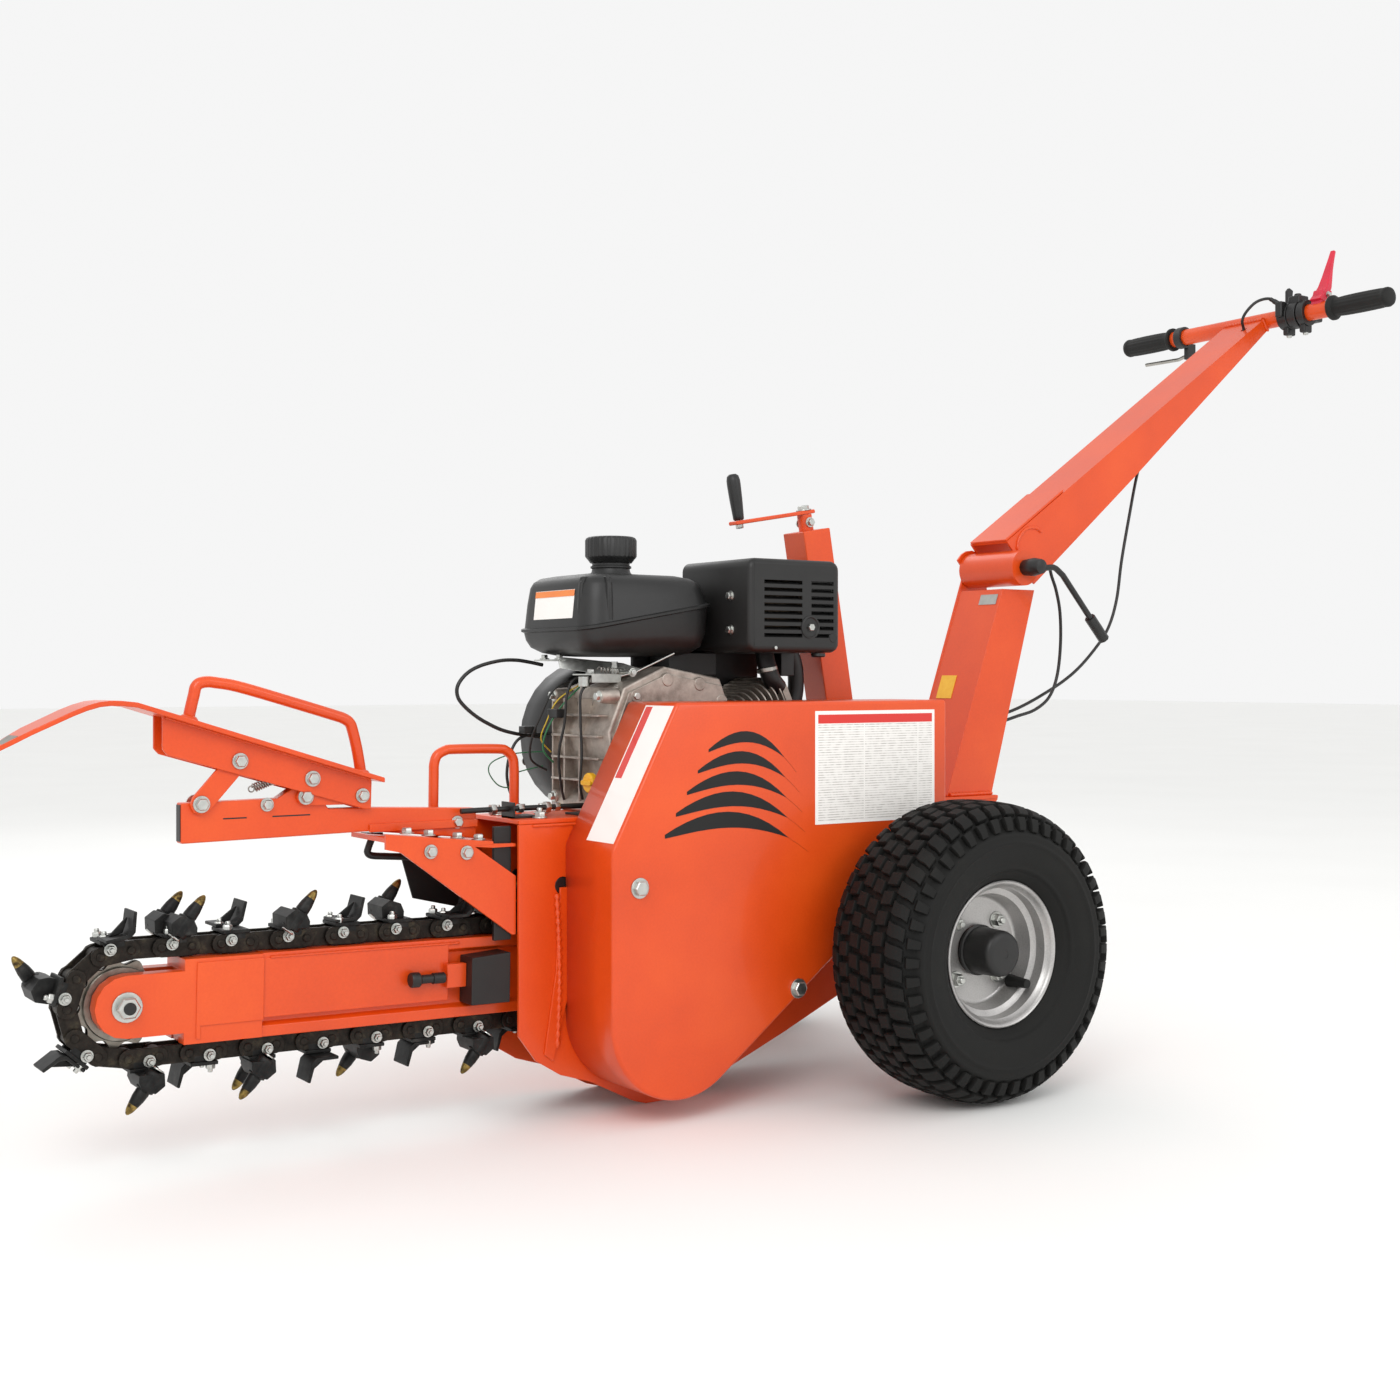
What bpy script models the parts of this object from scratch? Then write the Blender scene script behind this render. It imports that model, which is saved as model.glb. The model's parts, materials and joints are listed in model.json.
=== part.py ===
"""Walk-behind trencher with a digging boom, a crumber, a petrol engine and two turf wheels.

Metres, +Z up, boom towards -X, handles towards +X, belt guard towards -Y.
Working coordinates have X = 0 on the axle; the whole machine hangs on one empty that
moves the middle of its outline to the origin. The wheels stand on Z = 0.
"""

import bmesh
import bpy
from math import asin, atan2, cos, hypot, pi, radians, sin
from mathutils import Matrix, Vector

# Overall placing
MIDDLE_X = -0.1020
GAP = 0.0003

# Wheels: 16 x 6.5-8 turf tyre
TYRE_R = 0.203
TYRE_W = 0.160
WHEEL_Y = 0.288
RIM_R = 0.098
HUB_R = 0.032
AXLE_R = 0.0125

# Chassis
PLATE_Y = 0.058
PLATE_T = 0.005
CHASSIS_FRONT = -0.579
DECK_Z = 0.384
DECK_T = 0.006

# Belt guard
GUARD_FRONT_Y = -0.180
GUARD_BACK_Y = -0.0635
GUARD_T = 0.003
LOBE = (-0.405, 0.135)
LOBE_R = 0.105

# Digging boom and chain
NOSE = (-1.068, 0.198)
HEAD = (-0.4186, 0.186)
CHAIN_R = 0.0626
CHAIN_HALF = 0.0115
CHAIN_W = 0.046
STATIONS = 24
SPROCKET_R = 0.0500

# Engine
CRANK = (-0.335, 0.492)
CYLINDER_TILT = radians(25)

# Lift jack, leaning towards the boom
JACK_TOP = (-0.062, 0.790)
JACK_TILT = radians(-9.9)
JACK_W = 0.050
JACK_WALL = 0.0035

# Handle
PIVOT = (0.314, 0.745)
BAR = (0.957, 1.212)
BAR_HALF = 0.172
BAR_R = 0.0145
GRIP_R = 0.0170
GRIP_L = 0.115

# Crumber four-bar: fixed pivots A and D, moving pivots B and C
PIN_A = (-0.976, 0.424)
PIN_B = (-0.931, 0.474)
PIN_C = (-0.775, 0.427)
PIN_D = (-0.847, 0.428)


# ---------------------------------------------------------------- helpers

def linear(hex_colour):
    """A hex sRGB colour as linear RGBA."""
    raw = [int(hex_colour[i:i + 2], 16) / 255 for i in (0, 2, 4)]
    return [c / 12.92 if c <= 0.04045 else ((c + 0.055) / 1.055) ** 2.4 for c in raw] + [1]


def material(name, hex_colour, roughness, metallic=0.0):
    made = bpy.data.materials.new(name)
    made.use_nodes = True
    shader = made.node_tree.nodes["Principled BSDF"]
    shader.inputs["Base Color"].default_value = linear(hex_colour)
    shader.inputs["Roughness"].default_value = roughness
    shader.inputs["Metallic"].default_value = metallic
    return made


def place(name, data, finish, at=(0, 0, 0), turn=0.0):
    """Add one object with its origin at a working point, turned about Y."""
    made = bpy.data.objects.new(name, data)
    bpy.context.scene.collection.objects.link(made)
    made.parent = machine
    made.location = at
    made.rotation_euler = (0, turn, 0)
    if finish:
        data.materials.append(finish)
    return made


def mesh_from(bm, name, smooth=None):
    """Finish a bmesh: outward faces, and smooth shading below an angle in degrees."""
    bmesh.ops.recalc_face_normals(bm, faces=bm.faces)
    data = bpy.data.meshes.new(name)
    bm.to_mesh(data)
    bm.free()
    if smooth:
        data.shade_smooth()
        data.set_sharp_from_angle(angle=radians(smooth))
    return data


def plate(name, outline, y0, y1, finish, at=(0, 0, 0), turn=0.0):
    """An (x, z) outline extruded along Y, measured from the object's origin."""
    bm = bmesh.new()
    corners = [bm.verts.new((x - at[0], y0 - at[1], z - at[2])) for x, z in outline]
    face = bm.faces.new(corners)
    grown = bmesh.ops.extrude_face_region(bm, geom=[face])
    moved = [v for v in grown["geom"] if isinstance(v, bmesh.types.BMVert)]
    bmesh.ops.translate(bm, verts=moved, vec=(0, y1 - y0, 0))
    return place(name, mesh_from(bm, name), finish, at, turn)


def box(name, low, high, finish, at=(0, 0, 0), turn=0.0):
    """A box between two corners, measured like a plate."""
    outline = [(low[0], low[2]), (high[0], low[2]), (high[0], high[2]), (low[0], high[2])]
    return plate(name, outline, low[1], high[1], finish, at, turn)


def turned(name, profile, finish, at, axis="Y", steps=24, turn=0.0, smooth=40):
    """A profile of (radius, height) turned about an axis. Open ends lie on the axis."""
    bm = bmesh.new()
    corners = [bm.verts.new((r, 0, h)) for r, h in profile]
    closed = profile[0][0] > 0
    pairs = list(zip(corners, corners[1:] + corners[:1] if closed else corners[1:]))
    edges = [bm.edges.new(pair) for pair in pairs]
    bmesh.ops.spin(bm, geom=corners + edges, axis=(0, 0, 1), cent=(0, 0, 0),
                   angle=2 * pi, steps=steps, use_merge=True)
    bmesh.ops.remove_doubles(bm, verts=bm.verts, dist=1e-6)
    if axis == "Y":
        bmesh.ops.rotate(bm, verts=bm.verts, matrix=Matrix.Rotation(pi / 2, 3, "X"))
    if axis == "X":
        bmesh.ops.rotate(bm, verts=bm.verts, matrix=Matrix.Rotation(pi / 2, 3, "Y"))
    return place(name, mesh_from(bm, name, smooth), finish, at, turn)


def drum(name, radius, low, high, finish, at, axis="Y", steps=24, turn=0.0):
    """A plain cylinder. Low and high are heights along its axis (Y ones point to -Y)."""
    profile = [(0, low), (radius, low), (radius, high), (0, high)]
    return turned(name, profile, finish, at, axis, steps, turn)


def rod(name, route, radius, finish, at=(0, 0, 0), sides=2):
    """A round bar along a list of points, as a bevelled curve with filled ends."""
    curve = bpy.data.curves.new(name, "CURVE")
    curve.dimensions = "3D"
    curve.bevel_depth = radius
    curve.bevel_resolution = sides
    curve.use_fill_caps = True
    spline = curve.splines.new("POLY")
    spline.points.add(len(route) - 1)
    for point, place_at in zip(spline.points, route):
        point.co = [c - o for c, o in zip(place_at, at)] + [1]
    return place(name, curve, finish, at)


def swept(name, route, radius, finish, at=(0, 0, 0), steps=8):
    """A round bar as a mesh: rings along a route in a plane of constant Y, joined and capped."""
    bm = bmesh.new()
    rings = []
    for i, point in enumerate(route):
        before, after = Vector(route[max(i - 1, 0)]), Vector(route[min(i + 1, len(route) - 1)])
        ahead = (after - before).normalized()
        across = Vector((0, 1, 0)).cross(ahead).normalized()
        side = ahead.cross(across)
        middle = Vector(point) - Vector(at)
        turns = [2 * pi * k / steps for k in range(steps)]
        rings.append([bm.verts.new(middle + radius * (across * cos(a) + side * sin(a))) for a in turns])
    for a, b in zip(rings, rings[1:]):
        for k in range(steps):
            bm.faces.new((a[k], a[k - 1], b[k - 1], b[k]))
    bm.faces.new(rings[0])
    bm.faces.new(rings[-1])
    return place(name, mesh_from(bm, name, 40), finish, at)


def guide(thing):
    """Hide a cutter or a welded-on piece."""
    thing.hide_render = True
    thing.display_type = "WIRE"
    return thing


def cut(thing, *cutters):
    for cutter in cutters:
        change = thing.modifiers.new("cut", "BOOLEAN")
        change.operation = "DIFFERENCE"
        change.object = guide(cutter)
    return thing


def weld(thing, *pieces):
    for piece in pieces:
        change = thing.modifiers.new("weld", "BOOLEAN")
        change.operation = "UNION"
        change.object = guide(piece)
    return thing


def arc(centre, radius, start, end, steps):
    """Points on an arc, angles in degrees, anticlockwise from +X towards +Z."""
    turns = [radians(start + (end - start) * i / steps) for i in range(steps + 1)]
    return [(centre[0] + radius * cos(a), centre[1] + radius * sin(a)) for a in turns]


def filleted(points, radius, steps=4):
    """A route with each inner corner rounded."""
    route = [Vector(points[0])]
    for before, corner, after in zip(points, points[1:], points[2:]):
        corner = Vector(corner)
        back = (Vector(before) - corner).normalized()
        ahead = (Vector(after) - corner).normalized()
        half = back.angle(ahead) / 2
        reach = radius / (sin(half) / cos(half))
        middle = corner + (back + ahead).normalized() * (radius / sin(half))
        first = corner + back * reach - middle
        last = corner + ahead * reach - middle
        axis = first.cross(last)
        sweep = first.angle(last)
        for i in range(steps + 1):
            route.append(middle + Matrix.Rotation(sweep * i / steps, 3, axis) @ first)
    return [tuple(p) for p in route] + [tuple(points[-1])]


def smooth_route(points, count):
    """Evenly counted points on a Catmull-Rom curve through a route."""
    ends = [points[0]] + list(points) + [points[-1]]
    spans = len(points) - 1
    route = []
    for i in range(count):
        t = min(i * spans / (count - 1), spans - 1e-9)
        k = int(t)
        t -= k
        a, b, c, d = [Vector(p) for p in ends[k:k + 4]]
        route.append(tuple(0.5 * (2 * b + (c - a) * t + (2 * a - 5 * b + 4 * c - d) * t ** 2
                                  + (3 * b - a - 3 * c + d) * t ** 3)))
    return route


def pulley_profile(radius, width, bore, groove):
    """A V-grooved pulley as a closed profile around its bore."""
    half = width / 2
    return [(bore, -half), (radius, -half), (radius, -half * 0.75), (radius - groove, -half * 0.3),
            (radius - groove, half * 0.3), (radius, half * 0.75), (radius, half), (bore, half)]


# ---------------------------------------------------------------- start

for thing in list(bpy.data.objects):
    bpy.data.objects.remove(thing, do_unlink=True)

machine = bpy.data.objects.new("machine", None)
bpy.context.scene.collection.objects.link(machine)
machine.location = (-MIDDLE_X, 0, 0)

ORANGE = material("orange_powder_coat", "EB622D", 0.38)
BLACK = material("black_plastic", "2A2A2A", 0.45)
TYRE = material("tyre_rubber", "1F201C", 0.85)
RUBBER = material("grip_rubber", "222222", 0.8)
SILVER = material("silver_paint", "A8A5A2", 0.35, 0.6)
ZINC = material("zinc_plate", "C8C8C0", 0.3, 1.0)
STEEL = material("bare_steel", "77736C", 0.4, 1.0)
CHAIN = material("oiled_chain_steel", "3A352E", 0.5, 0.8)
CAST = material("cast_aluminium", "9C938C", 0.5, 0.9)
YELLOW = material("yellow_plastic", "F2B41C", 0.4)
RED = material("red_lever", "D8203A", 0.4)
BELT = material("belt_rubber", "1B1B1B", 0.8)


# ---------------------------------------------------------------- chassis

FOOT_TOP = 0.112
foot = [(CHASSIS_FRONT, FOOT_TOP), (-0.554, 0.078), (-0.517, 0.055), (-0.471, 0.040), (-0.405, 0.006),
        (-0.385, 0.0), (-0.335, 0.0), (-0.300, 0.010)]
side_outline = foot + [(-0.149, 0.070), (-0.020, 0.125), (0.060, 0.205), (0.268, DECK_Z - GAP),
                       (CHASSIS_FRONT, DECK_Z - GAP)]
for name, y in (("side_plate_near", -PLATE_Y - PLATE_T), ("side_plate_far", PLATE_Y)):
    side = plate(name, side_outline, y, y + PLATE_T, ORANGE)
    hole = drum(name + "_hole", 0.0115, -0.01, 0.01, None, (-0.514, y + PLATE_T / 2, 0.302), steps=16)
    shaft_hole = drum(name + "_bore", 0.0135, -0.01, 0.01, None, (HEAD[0], y + PLATE_T / 2, HEAD[1]),
                      steps=16)
    axle_slot = box(name + "_slot", (-0.016, y - 0.01, 0.060), (0.036, y + 0.015, 0.221), None,
                    at=(0, 0, 0))
    cut(side, hole, shaft_hole, axle_slot)

deck = box("engine_deck", (CHASSIS_FRONT, -PLATE_Y - PLATE_T, DECK_Z), (0.268, PLATE_Y + PLATE_T, DECK_Z + DECK_T),
           ORANGE)
cut(deck, box("deck_jack_hole", (-0.031, -0.028, DECK_Z - 0.01), (0.040, 0.028, DECK_Z + 0.02), None))

# ---------------------------------------------------------------- belt guard


def guard_outline(inset):
    """The guard's edge, moved inwards by an amount."""
    radius = LOBE_R - inset
    slope = atan2(0.745, 1.0)
    low = arc(LOBE, radius, 180, 270 + slope * 180 / pi, 12)
    right = 0.052 - inset
    tangent_end = low[-1]
    rise = tangent_end[1] + (right - tangent_end[0]) * 0.745
    top = 0.541 - inset
    corner = LOBE[0] - radius
    lean = (0.098, 0.185)
    shift = inset * (hypot(*lean) - lean[0]) / lean[1]
    return low + [(right, rise), (right, top), (-0.412 + shift, top), (corner, 0.356 - shift * 0.5)]


guard = plate("belt_guard", guard_outline(0), GUARD_FRONT_Y, GUARD_BACK_Y, ORANGE)
hollow = plate("guard_hollow", guard_outline(GUARD_T), GUARD_FRONT_Y + GUARD_T, GUARD_BACK_Y + 0.01, None)
bores = [drum(f"guard_bore_{i}", 0.0045, -0.01, 0.01, None, (x, GUARD_FRONT_Y, z), steps=10)
         for i, (x, z) in enumerate(((-0.470, 0.307), (-0.217, 0.155)))]
cut(guard, hollow, *bores)
BOLT_R = 0.0042
turned("guard_bolt", [(0, -0.112), (BOLT_R, -0.112), (BOLT_R, GAP), (0.0105, GAP), (0.0105, 0.0068), (0, 0.0068)],
       ZINC, (-0.470, GUARD_FRONT_Y, 0.307), steps=6, smooth=None)

# ---------------------------------------------------------------- handle column

web_front = [(0.172, DECK_Z + DECK_T + GAP), (0.2895, 0.7120)]
web_slope = (web_front[1][0] - web_front[0][0]) / (web_front[1][1] - web_front[0][1])


def web_x(z):
    return web_front[0][0] + (z - web_front[0][1]) * web_slope


COLUMN_T = 0.004
foot_z = DECK_Z + DECK_T + GAP
near_side = [(web_x(foot_z), foot_z), (0.266, foot_z), (0.360, 0.712), (web_x(0.712), 0.712)]
column = plate("handle_column", near_side, -0.050, -0.050 + COLUMN_T, ORANGE)
ear = [(web_x(foot_z), foot_z), (0.266, foot_z), (0.354, 0.690)] + arc(PIVOT, 0.034, -20, 150, 8) \
    + [(web_x(0.745) - 0.002, 0.745)]
far_side = plate("column_far_side", ear, 0.050 - COLUMN_T, 0.050, None)
web = plate("column_web", [(web_x(foot_z), foot_z), (web_x(foot_z) + 0.004, foot_z),
                           (web_x(0.712) + 0.004, 0.712), (web_x(0.712), 0.712)], -0.049, 0.049, None)
weld(column, far_side, web)
cut(column, drum("ear_bore", 0.0083, -0.1, 0.1, None, (PIVOT[0], 0, PIVOT[1]), steps=12))

# ---------------------------------------------------------------- handle arm body

ARM_TURN = -atan2(BAR[1] - PIVOT[1], BAR[0] - PIVOT[0])
ARM_L = hypot(BAR[0] - PIVOT[0], BAR[1] - PIVOT[1])
pivot_at = (PIVOT[0], 0, PIVOT[1])

pivot_tube = turned("pivot_tube", [(0.0085, -0.045), (0.028, -0.045), (0.028, 0.075), (0.0085, 0.075)], None,
                    pivot_at)
arm_side = [(0.020, 0.0385), (ARM_L - BAR_R - 0.010, 0.010), (ARM_L - BAR_R - GAP, 0.010),
            (ARM_L - BAR_R - GAP, -0.012), (0.330, -0.0375), (0.030, -0.050)]
arm = plate("handle_arm", arm_side, -0.042, 0.042, ORANGE, turn=ARM_TURN)
arm.location = pivot_at
arm_hollow = plate("arm_hollow", [(0.010, 0.0355), (0.762, 0.0073), (0.762, -0.040), (0.330, -0.060),
                                  (0.010, -0.070)], -0.039, 0.039, None, turn=ARM_TURN)
arm_hollow.location = pivot_at


def arm_point(along, up, y):
    """A working point on the handle arm, from its pivot along it and up across it."""
    return (PIVOT[0] + along * cos(ARM_TURN) + up * sin(ARM_TURN), y,
            PIVOT[1] - along * sin(ARM_TURN) + up * cos(ARM_TURN))


cable_hole = drum("cable_hole", 0.0055, 0.0, 0.040, None, arm_point(0.750, 0, -0.020), axis="Z", steps=12,
                  turn=ARM_TURN)
cut(arm, arm_hollow, cable_hole)
weld(arm, pivot_tube)

bar_at = (BAR[0], 0, BAR[1])
turned("crossbar", [(BAR_R - 0.0025, -BAR_HALF - GRIP_L + 0.004), (BAR_R, -BAR_HALF - GRIP_L + 0.004),
                    (BAR_R, BAR_HALF + GRIP_L - 0.004), (BAR_R - 0.0025, BAR_HALF + GRIP_L - 0.004)],
       ORANGE, bar_at, steps=16)
for name, side in (("grip_near", 1), ("grip_far", -1)):
    inner = BAR_R + GAP
    profile = [(0, GRIP_L), (0.012, GRIP_L), (GRIP_R, GRIP_L - 0.005), (GRIP_R, 0.006), (0.0215, 0.006),
               (0.0215, 0), (inner, 0), (inner, GRIP_L - 0.0035), (0, GRIP_L - 0.0035)]
    turned(name, [(r, side * h) for r, h in profile], RUBBER,
           (BAR[0], -side * BAR_HALF, BAR[1]), steps=16)

perch = turned("control_perch", [(0.0155, -0.028), (0.024, -0.028), (0.024, 0.028), (0.0155, 0.028)],
               BLACK, (BAR[0], -0.100, BAR[1]), steps=16)
weld(perch, box("perch_block", (0.012, -0.024, -0.012), (0.042, 0.024, 0.020), None))
bpy.data.objects["perch_block"].location = (BAR[0], -0.100, BAR[1])
cut(perch, drum("perch_bore", 0.0155, -0.05, 0.05, None, (BAR[0], -0.100, BAR[1]), steps=16))

LEVER_PIN = (BAR[0] + 0.010, -0.146, BAR[1] + 0.024)
clutch = plate("clutch_lever", [(-0.016, -0.008), (-0.004, -0.034), (0.004, -0.034), (0.012, -0.008),
                                (0.016, 0.006), (0.020, 0.045), (0.032, 0.085), (0.028, 0.086),
                                (0.012, 0.048), (0.004, 0.014), (-0.014, 0.010)], -0.011, 0.011, RED)
clutch.location = LEVER_PIN
cut(clutch, drum("clutch_clear", 0.0220, -0.06, 0.06, None, (BAR[0], -0.146, BAR[1]), steps=16))

throttle = plate("throttle_lever", [(-0.006, 0.0), (0.006, 0.0), (0.010, 0.030), (0.0, 0.034), (-0.006, 0.028)],
                 -0.003, 0.003, BLACK)
throttle.location = (BAR[0] + 0.020, -0.068, BAR[1] + 0.022)

brake_at = (BAR[0] + 0.020, 0.158, BAR[1] - 0.030)
rod("brake_lever", filleted([brake_at, (brake_at[0], 0.178, brake_at[2] - 0.005),
                             (BAR[0] + 0.010, 0.250, BAR[1] - 0.036)], 0.02), 0.0035, STEEL, brake_at)

# Clamp lever: screwed through the pivot tube, with a bent handle
clamp_at = (PIVOT[0], -0.105, PIVOT[1])
clamp = turned("clamp_lever", [(0, -0.160), (0.0075, -0.160), (0.0075, -0.0297), (0.0125, -0.0297),
                               (0.0145, -0.010), (0.0115, 0.006), (0, 0.008)], BLACK, clamp_at, steps=12)
handle_route = filleted([(0.004, 0.0, -0.002), (0.030, -0.004, 0.0), (0.048, -0.004, -0.012),
                         (0.140, 0.0, -0.105)], 0.015)
lever_bar = swept("clamp_bar", handle_route, 0.0048, None)
lever_bar.location = clamp_at
lever_sleeve = swept("clamp_sleeve", [(0.112, -0.0010, -0.0770), (0.146, 0.0002, -0.1112)], 0.0088, None)
lever_sleeve.location = clamp_at
weld(clamp, lever_bar, lever_sleeve)

# ---------------------------------------------------------------- wheels


def tyre_profile():
    """Crown, shoulders, bulging sidewalls and beads, round an open inside."""
    upper = [(TYRE_R, 0.024), (0.197, 0.058), (0.182, 0.076), (0.150, 0.080), (0.120, 0.074), (0.1000, 0.0550),
             (0.0925, 0.0500)]
    return [(r, -h) for r, h in reversed(upper)] + upper + [(0.100, 0.045), (0.140, 0.066), (0.180, 0.064),
            (0.194, 0.0), (0.180, -0.064), (0.140, -0.066), (0.100, -0.045)]


def rim_profile():
    """Hub, dish, barrel and lips, from the outer face (positive height) to the inner one."""
    return [(AXLE_R + GAP, 0.062), (HUB_R, 0.062), (HUB_R, 0.012), (0.072, 0.008), (0.082, 0.052),
            (0.0900, 0.0600), (RIM_R, 0.0600), (RIM_R, 0.0556), (0.0915, 0.0540), (0.0915, -0.0540),
            (RIM_R, -0.0556), (RIM_R, -0.0600), (0.0900, -0.0600), (0.082, -0.052), (0.0885, 0.003),
            (HUB_R, 0.006), (HUB_R, -0.050), (AXLE_R + GAP, -0.050)]


for side_name, side in (("near", 1), ("far", -1)):
    centre = (0, -side * WHEEL_Y, TYRE_R)
    turned("tyre_" + side_name, tyre_profile(), TYRE, centre, steps=32)
    turned("rim_" + side_name, [(r, side * h) for r, h in rim_profile()], SILVER, centre, steps=28)

# ---------------------------------------------------------------- axle carriage and lift jack


def jack_point(down):
    """A working point on the jack's axis, measured down from its top."""
    return (JACK_TOP[0] - down * sin(JACK_TILT), 0, JACK_TOP[1] - down * cos(JACK_TILT))


jack_at = jack_point(0)
half = JACK_W / 2
inner_half = half - JACK_WALL
post = box("jack_post", (-half, -half, -0.520), (half, half, 0), ORANGE, turn=JACK_TILT)
post.location = jack_at
post_hollow = box("jack_hollow", (-inner_half, -inner_half, -0.60), (inner_half, inner_half, -0.004), None,
                  turn=JACK_TILT)
post_hollow.location = jack_at
post_bore = drum("jack_bore", 0.0115, -0.05, 0.05, None, jack_at, axis="Z", steps=16, turn=JACK_TILT)
cut(post, post_hollow, post_bore)

turned("jack_screw", [(0, -0.380), (0.0075, -0.380), (0.0075, -0.0200), (0.0110, -0.0190), (0.0110, 0.0240),
                      (0, 0.0240)], ORANGE, jack_at, axis="Z", steps=16, turn=JACK_TILT)
crank = plate("crank_arm", [(-0.132, 0.0243), (0.014, 0.0243), (0.014, 0.0300), (-0.132, 0.0300)],
              -0.010, 0.010, ORANGE, turn=JACK_TILT)
crank.location = jack_at
grip_at = (jack_at[0] - 0.120 * cos(JACK_TILT) + 0.0303 * sin(JACK_TILT), 0,
           jack_at[2] + 0.120 * sin(JACK_TILT) + 0.0303 * cos(JACK_TILT))
turned("crank_grip", [(0, 0), (0.0075, 0), (0.0090, 0.010), (0.0095, 0.058), (0.0065, 0.066), (0, 0.066)],
       BLACK, grip_at, axis="Z", steps=14, turn=JACK_TILT)

carriage_tube = inner_half - 0.001
carriage = box("axle_carriage", (-carriage_tube, -carriage_tube, -0.640), (carriage_tube, carriage_tube, -0.260),
               ORANGE, turn=JACK_TILT)
carriage.location = jack_at
carriage_bore = drum("carriage_bore", 0.0095, -0.60, -0.20, None, jack_at, axis="Z", steps=12, turn=JACK_TILT)
axle = drum("axle_bar", AXLE_R, -0.345, 0.345, None, (0, 0, TYRE_R), steps=16)
axle_block = box("axle_block", (-0.018, -0.056, TYRE_R - 0.022), (0.030, 0.056, TYRE_R + 0.022), None)
cut(carriage, carriage_bore)
weld(carriage, axle_block, axle)

# ---------------------------------------------------------------- digging boom

SLOPE = atan2(NOSE[1] - HEAD[1], HEAD[0] - NOSE[0])


def boom_section():
    """Half section of the boom: a box between an upper and a lower chain rail."""
    quarter = [(0.030, 0.0500), (0.030, 0.0370), (0.022, 0.0330)]
    below = [(y, -z) for y, z in reversed(quarter)]
    right = quarter + below
    return right + [(-y, z) for y, z in reversed(right)]


def boom_point(along, up):
    """A working point along the boom from the nose bolt, and up from its centre line."""
    return (NOSE[0] + along * cos(SLOPE) + up * sin(SLOPE), NOSE[1] - along * sin(SLOPE) + up * cos(SLOPE))


bm = bmesh.new()
ring = [bm.verts.new((0.1603, y, z)) for y, z in boom_section()]
first = bm.faces.new(ring)
grown = bmesh.ops.extrude_face_region(bm, geom=[first])
bmesh.ops.translate(bm, verts=[v for v in grown["geom"] if isinstance(v, bmesh.types.BMVert)],
                    vec=(0.4400, 0, 0))
boom = place("boom_bar", mesh_from(bm, "boom_bar"), ORANGE, (NOSE[0], 0, NOSE[1]), SLOPE)
bar_hollow = box("boom_hollow", (0.15, -0.017, -0.028), (0.70, 0.017, 0.028), None, turn=SLOPE)
bar_hollow.location = (NOSE[0], 0, NOSE[1])
cut(boom, bar_hollow, drum("head_clear", 0.0530, -0.05, 0.05, None, (HEAD[0], 0, HEAD[1]), steps=24))

nose_outline = arc(NOSE, 0.036, 90, 270, 8) + [boom_point(0.066, -0.0360), boom_point(0.066, -0.0495),
                                             boom_point(0.160, -0.0495), boom_point(0.160, 0.0495),
                                             boom_point(0.066, 0.0495), boom_point(0.066, 0.0360)]
nose = plate("boom_nose", nose_outline, -0.033, 0.033, ORANGE)
cut(nose, box("nose_slot", (-0.06, -0.012, -0.08), (0.0665, 0.012, 0.08), None),
    drum("nose_bore", 0.0085, -0.05, 0.05, None, (NOSE[0], 0, NOSE[1]), steps=12))
bpy.data.objects["nose_slot"].location = (NOSE[0], 0, NOSE[1])


def sprocket_profile(thick, bore):
    return [(bore, -thick / 2 - 0.004), (0.026, -thick / 2 - 0.004), (0.026, -thick / 2), (SPROCKET_R, -thick / 2),
            (SPROCKET_R, thick / 2), (0.026, thick / 2), (0.026, thick / 2 + 0.004), (bore, thick / 2 + 0.004)]


turned("nose_sprocket", sprocket_profile(0.010, 0.0085), STEEL, (NOSE[0], 0, NOSE[1]), steps=22)
turned("nose_bolt", [(0, -0.046), (0.0130, -0.046), (0.0130, -0.0333), (0.0080, -0.0333), (0.0080, 0.0333),
                     (0.0130, 0.0333), (0.0130, 0.046), (0, 0.046)], ZINC, (NOSE[0], 0, NOSE[1]), steps=12)
tension_from = boom_point(0.335, 0.004)
turned("tension_bolt", [(0, 0), (0.0090, 0), (0.0090, 0.010), (0.0055, 0.012), (0.0055, 0.046), (0, 0.046)],
       BLACK, (tension_from[0], -0.033, tension_from[1]), axis="X", steps=10)
mount_outline = [boom_point(0.425, -0.032), boom_point(0.480, -0.032), boom_point(0.480, 0.032),
                 boom_point(0.425, 0.028)]
plate("boom_mount", mount_outline, -0.0575, -0.0225, BLACK)

# Digging chain: a closed band with a tooth on every second link
chord = hypot(HEAD[0] - NOSE[0], HEAD[1] - NOSE[1])


def chain_loop(offset, steps=11):
    radius = CHAIN_R + offset
    left = [(radius * cos(radians(a)), radius * sin(radians(a)))
            for a in [90 + 180 * i / steps for i in range(steps + 1)]]
    right = [(chord - x, -z) for x, z in left]
    return left + right


bm = bmesh.new()
half = CHAIN_W / 2
outer = chain_loop(CHAIN_HALF)
inner = chain_loop(-CHAIN_HALF)
rings = [[bm.verts.new((x, y, z)) for x, z in points]
         for points, y in ((outer, -half), (outer, half), (inner, half), (inner, -half))]
count = len(outer)
for a, b in zip(rings, rings[1:] + rings[:1]):
    for i in range(count):
        k = (i + 1) % count
        bm.faces.new((a[i], a[k], b[k], b[i]))
chain = place("digging_chain", mesh_from(bm, "digging_chain", 50), CHAIN, (NOSE[0], 0, NOSE[1]), SLOPE)


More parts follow.
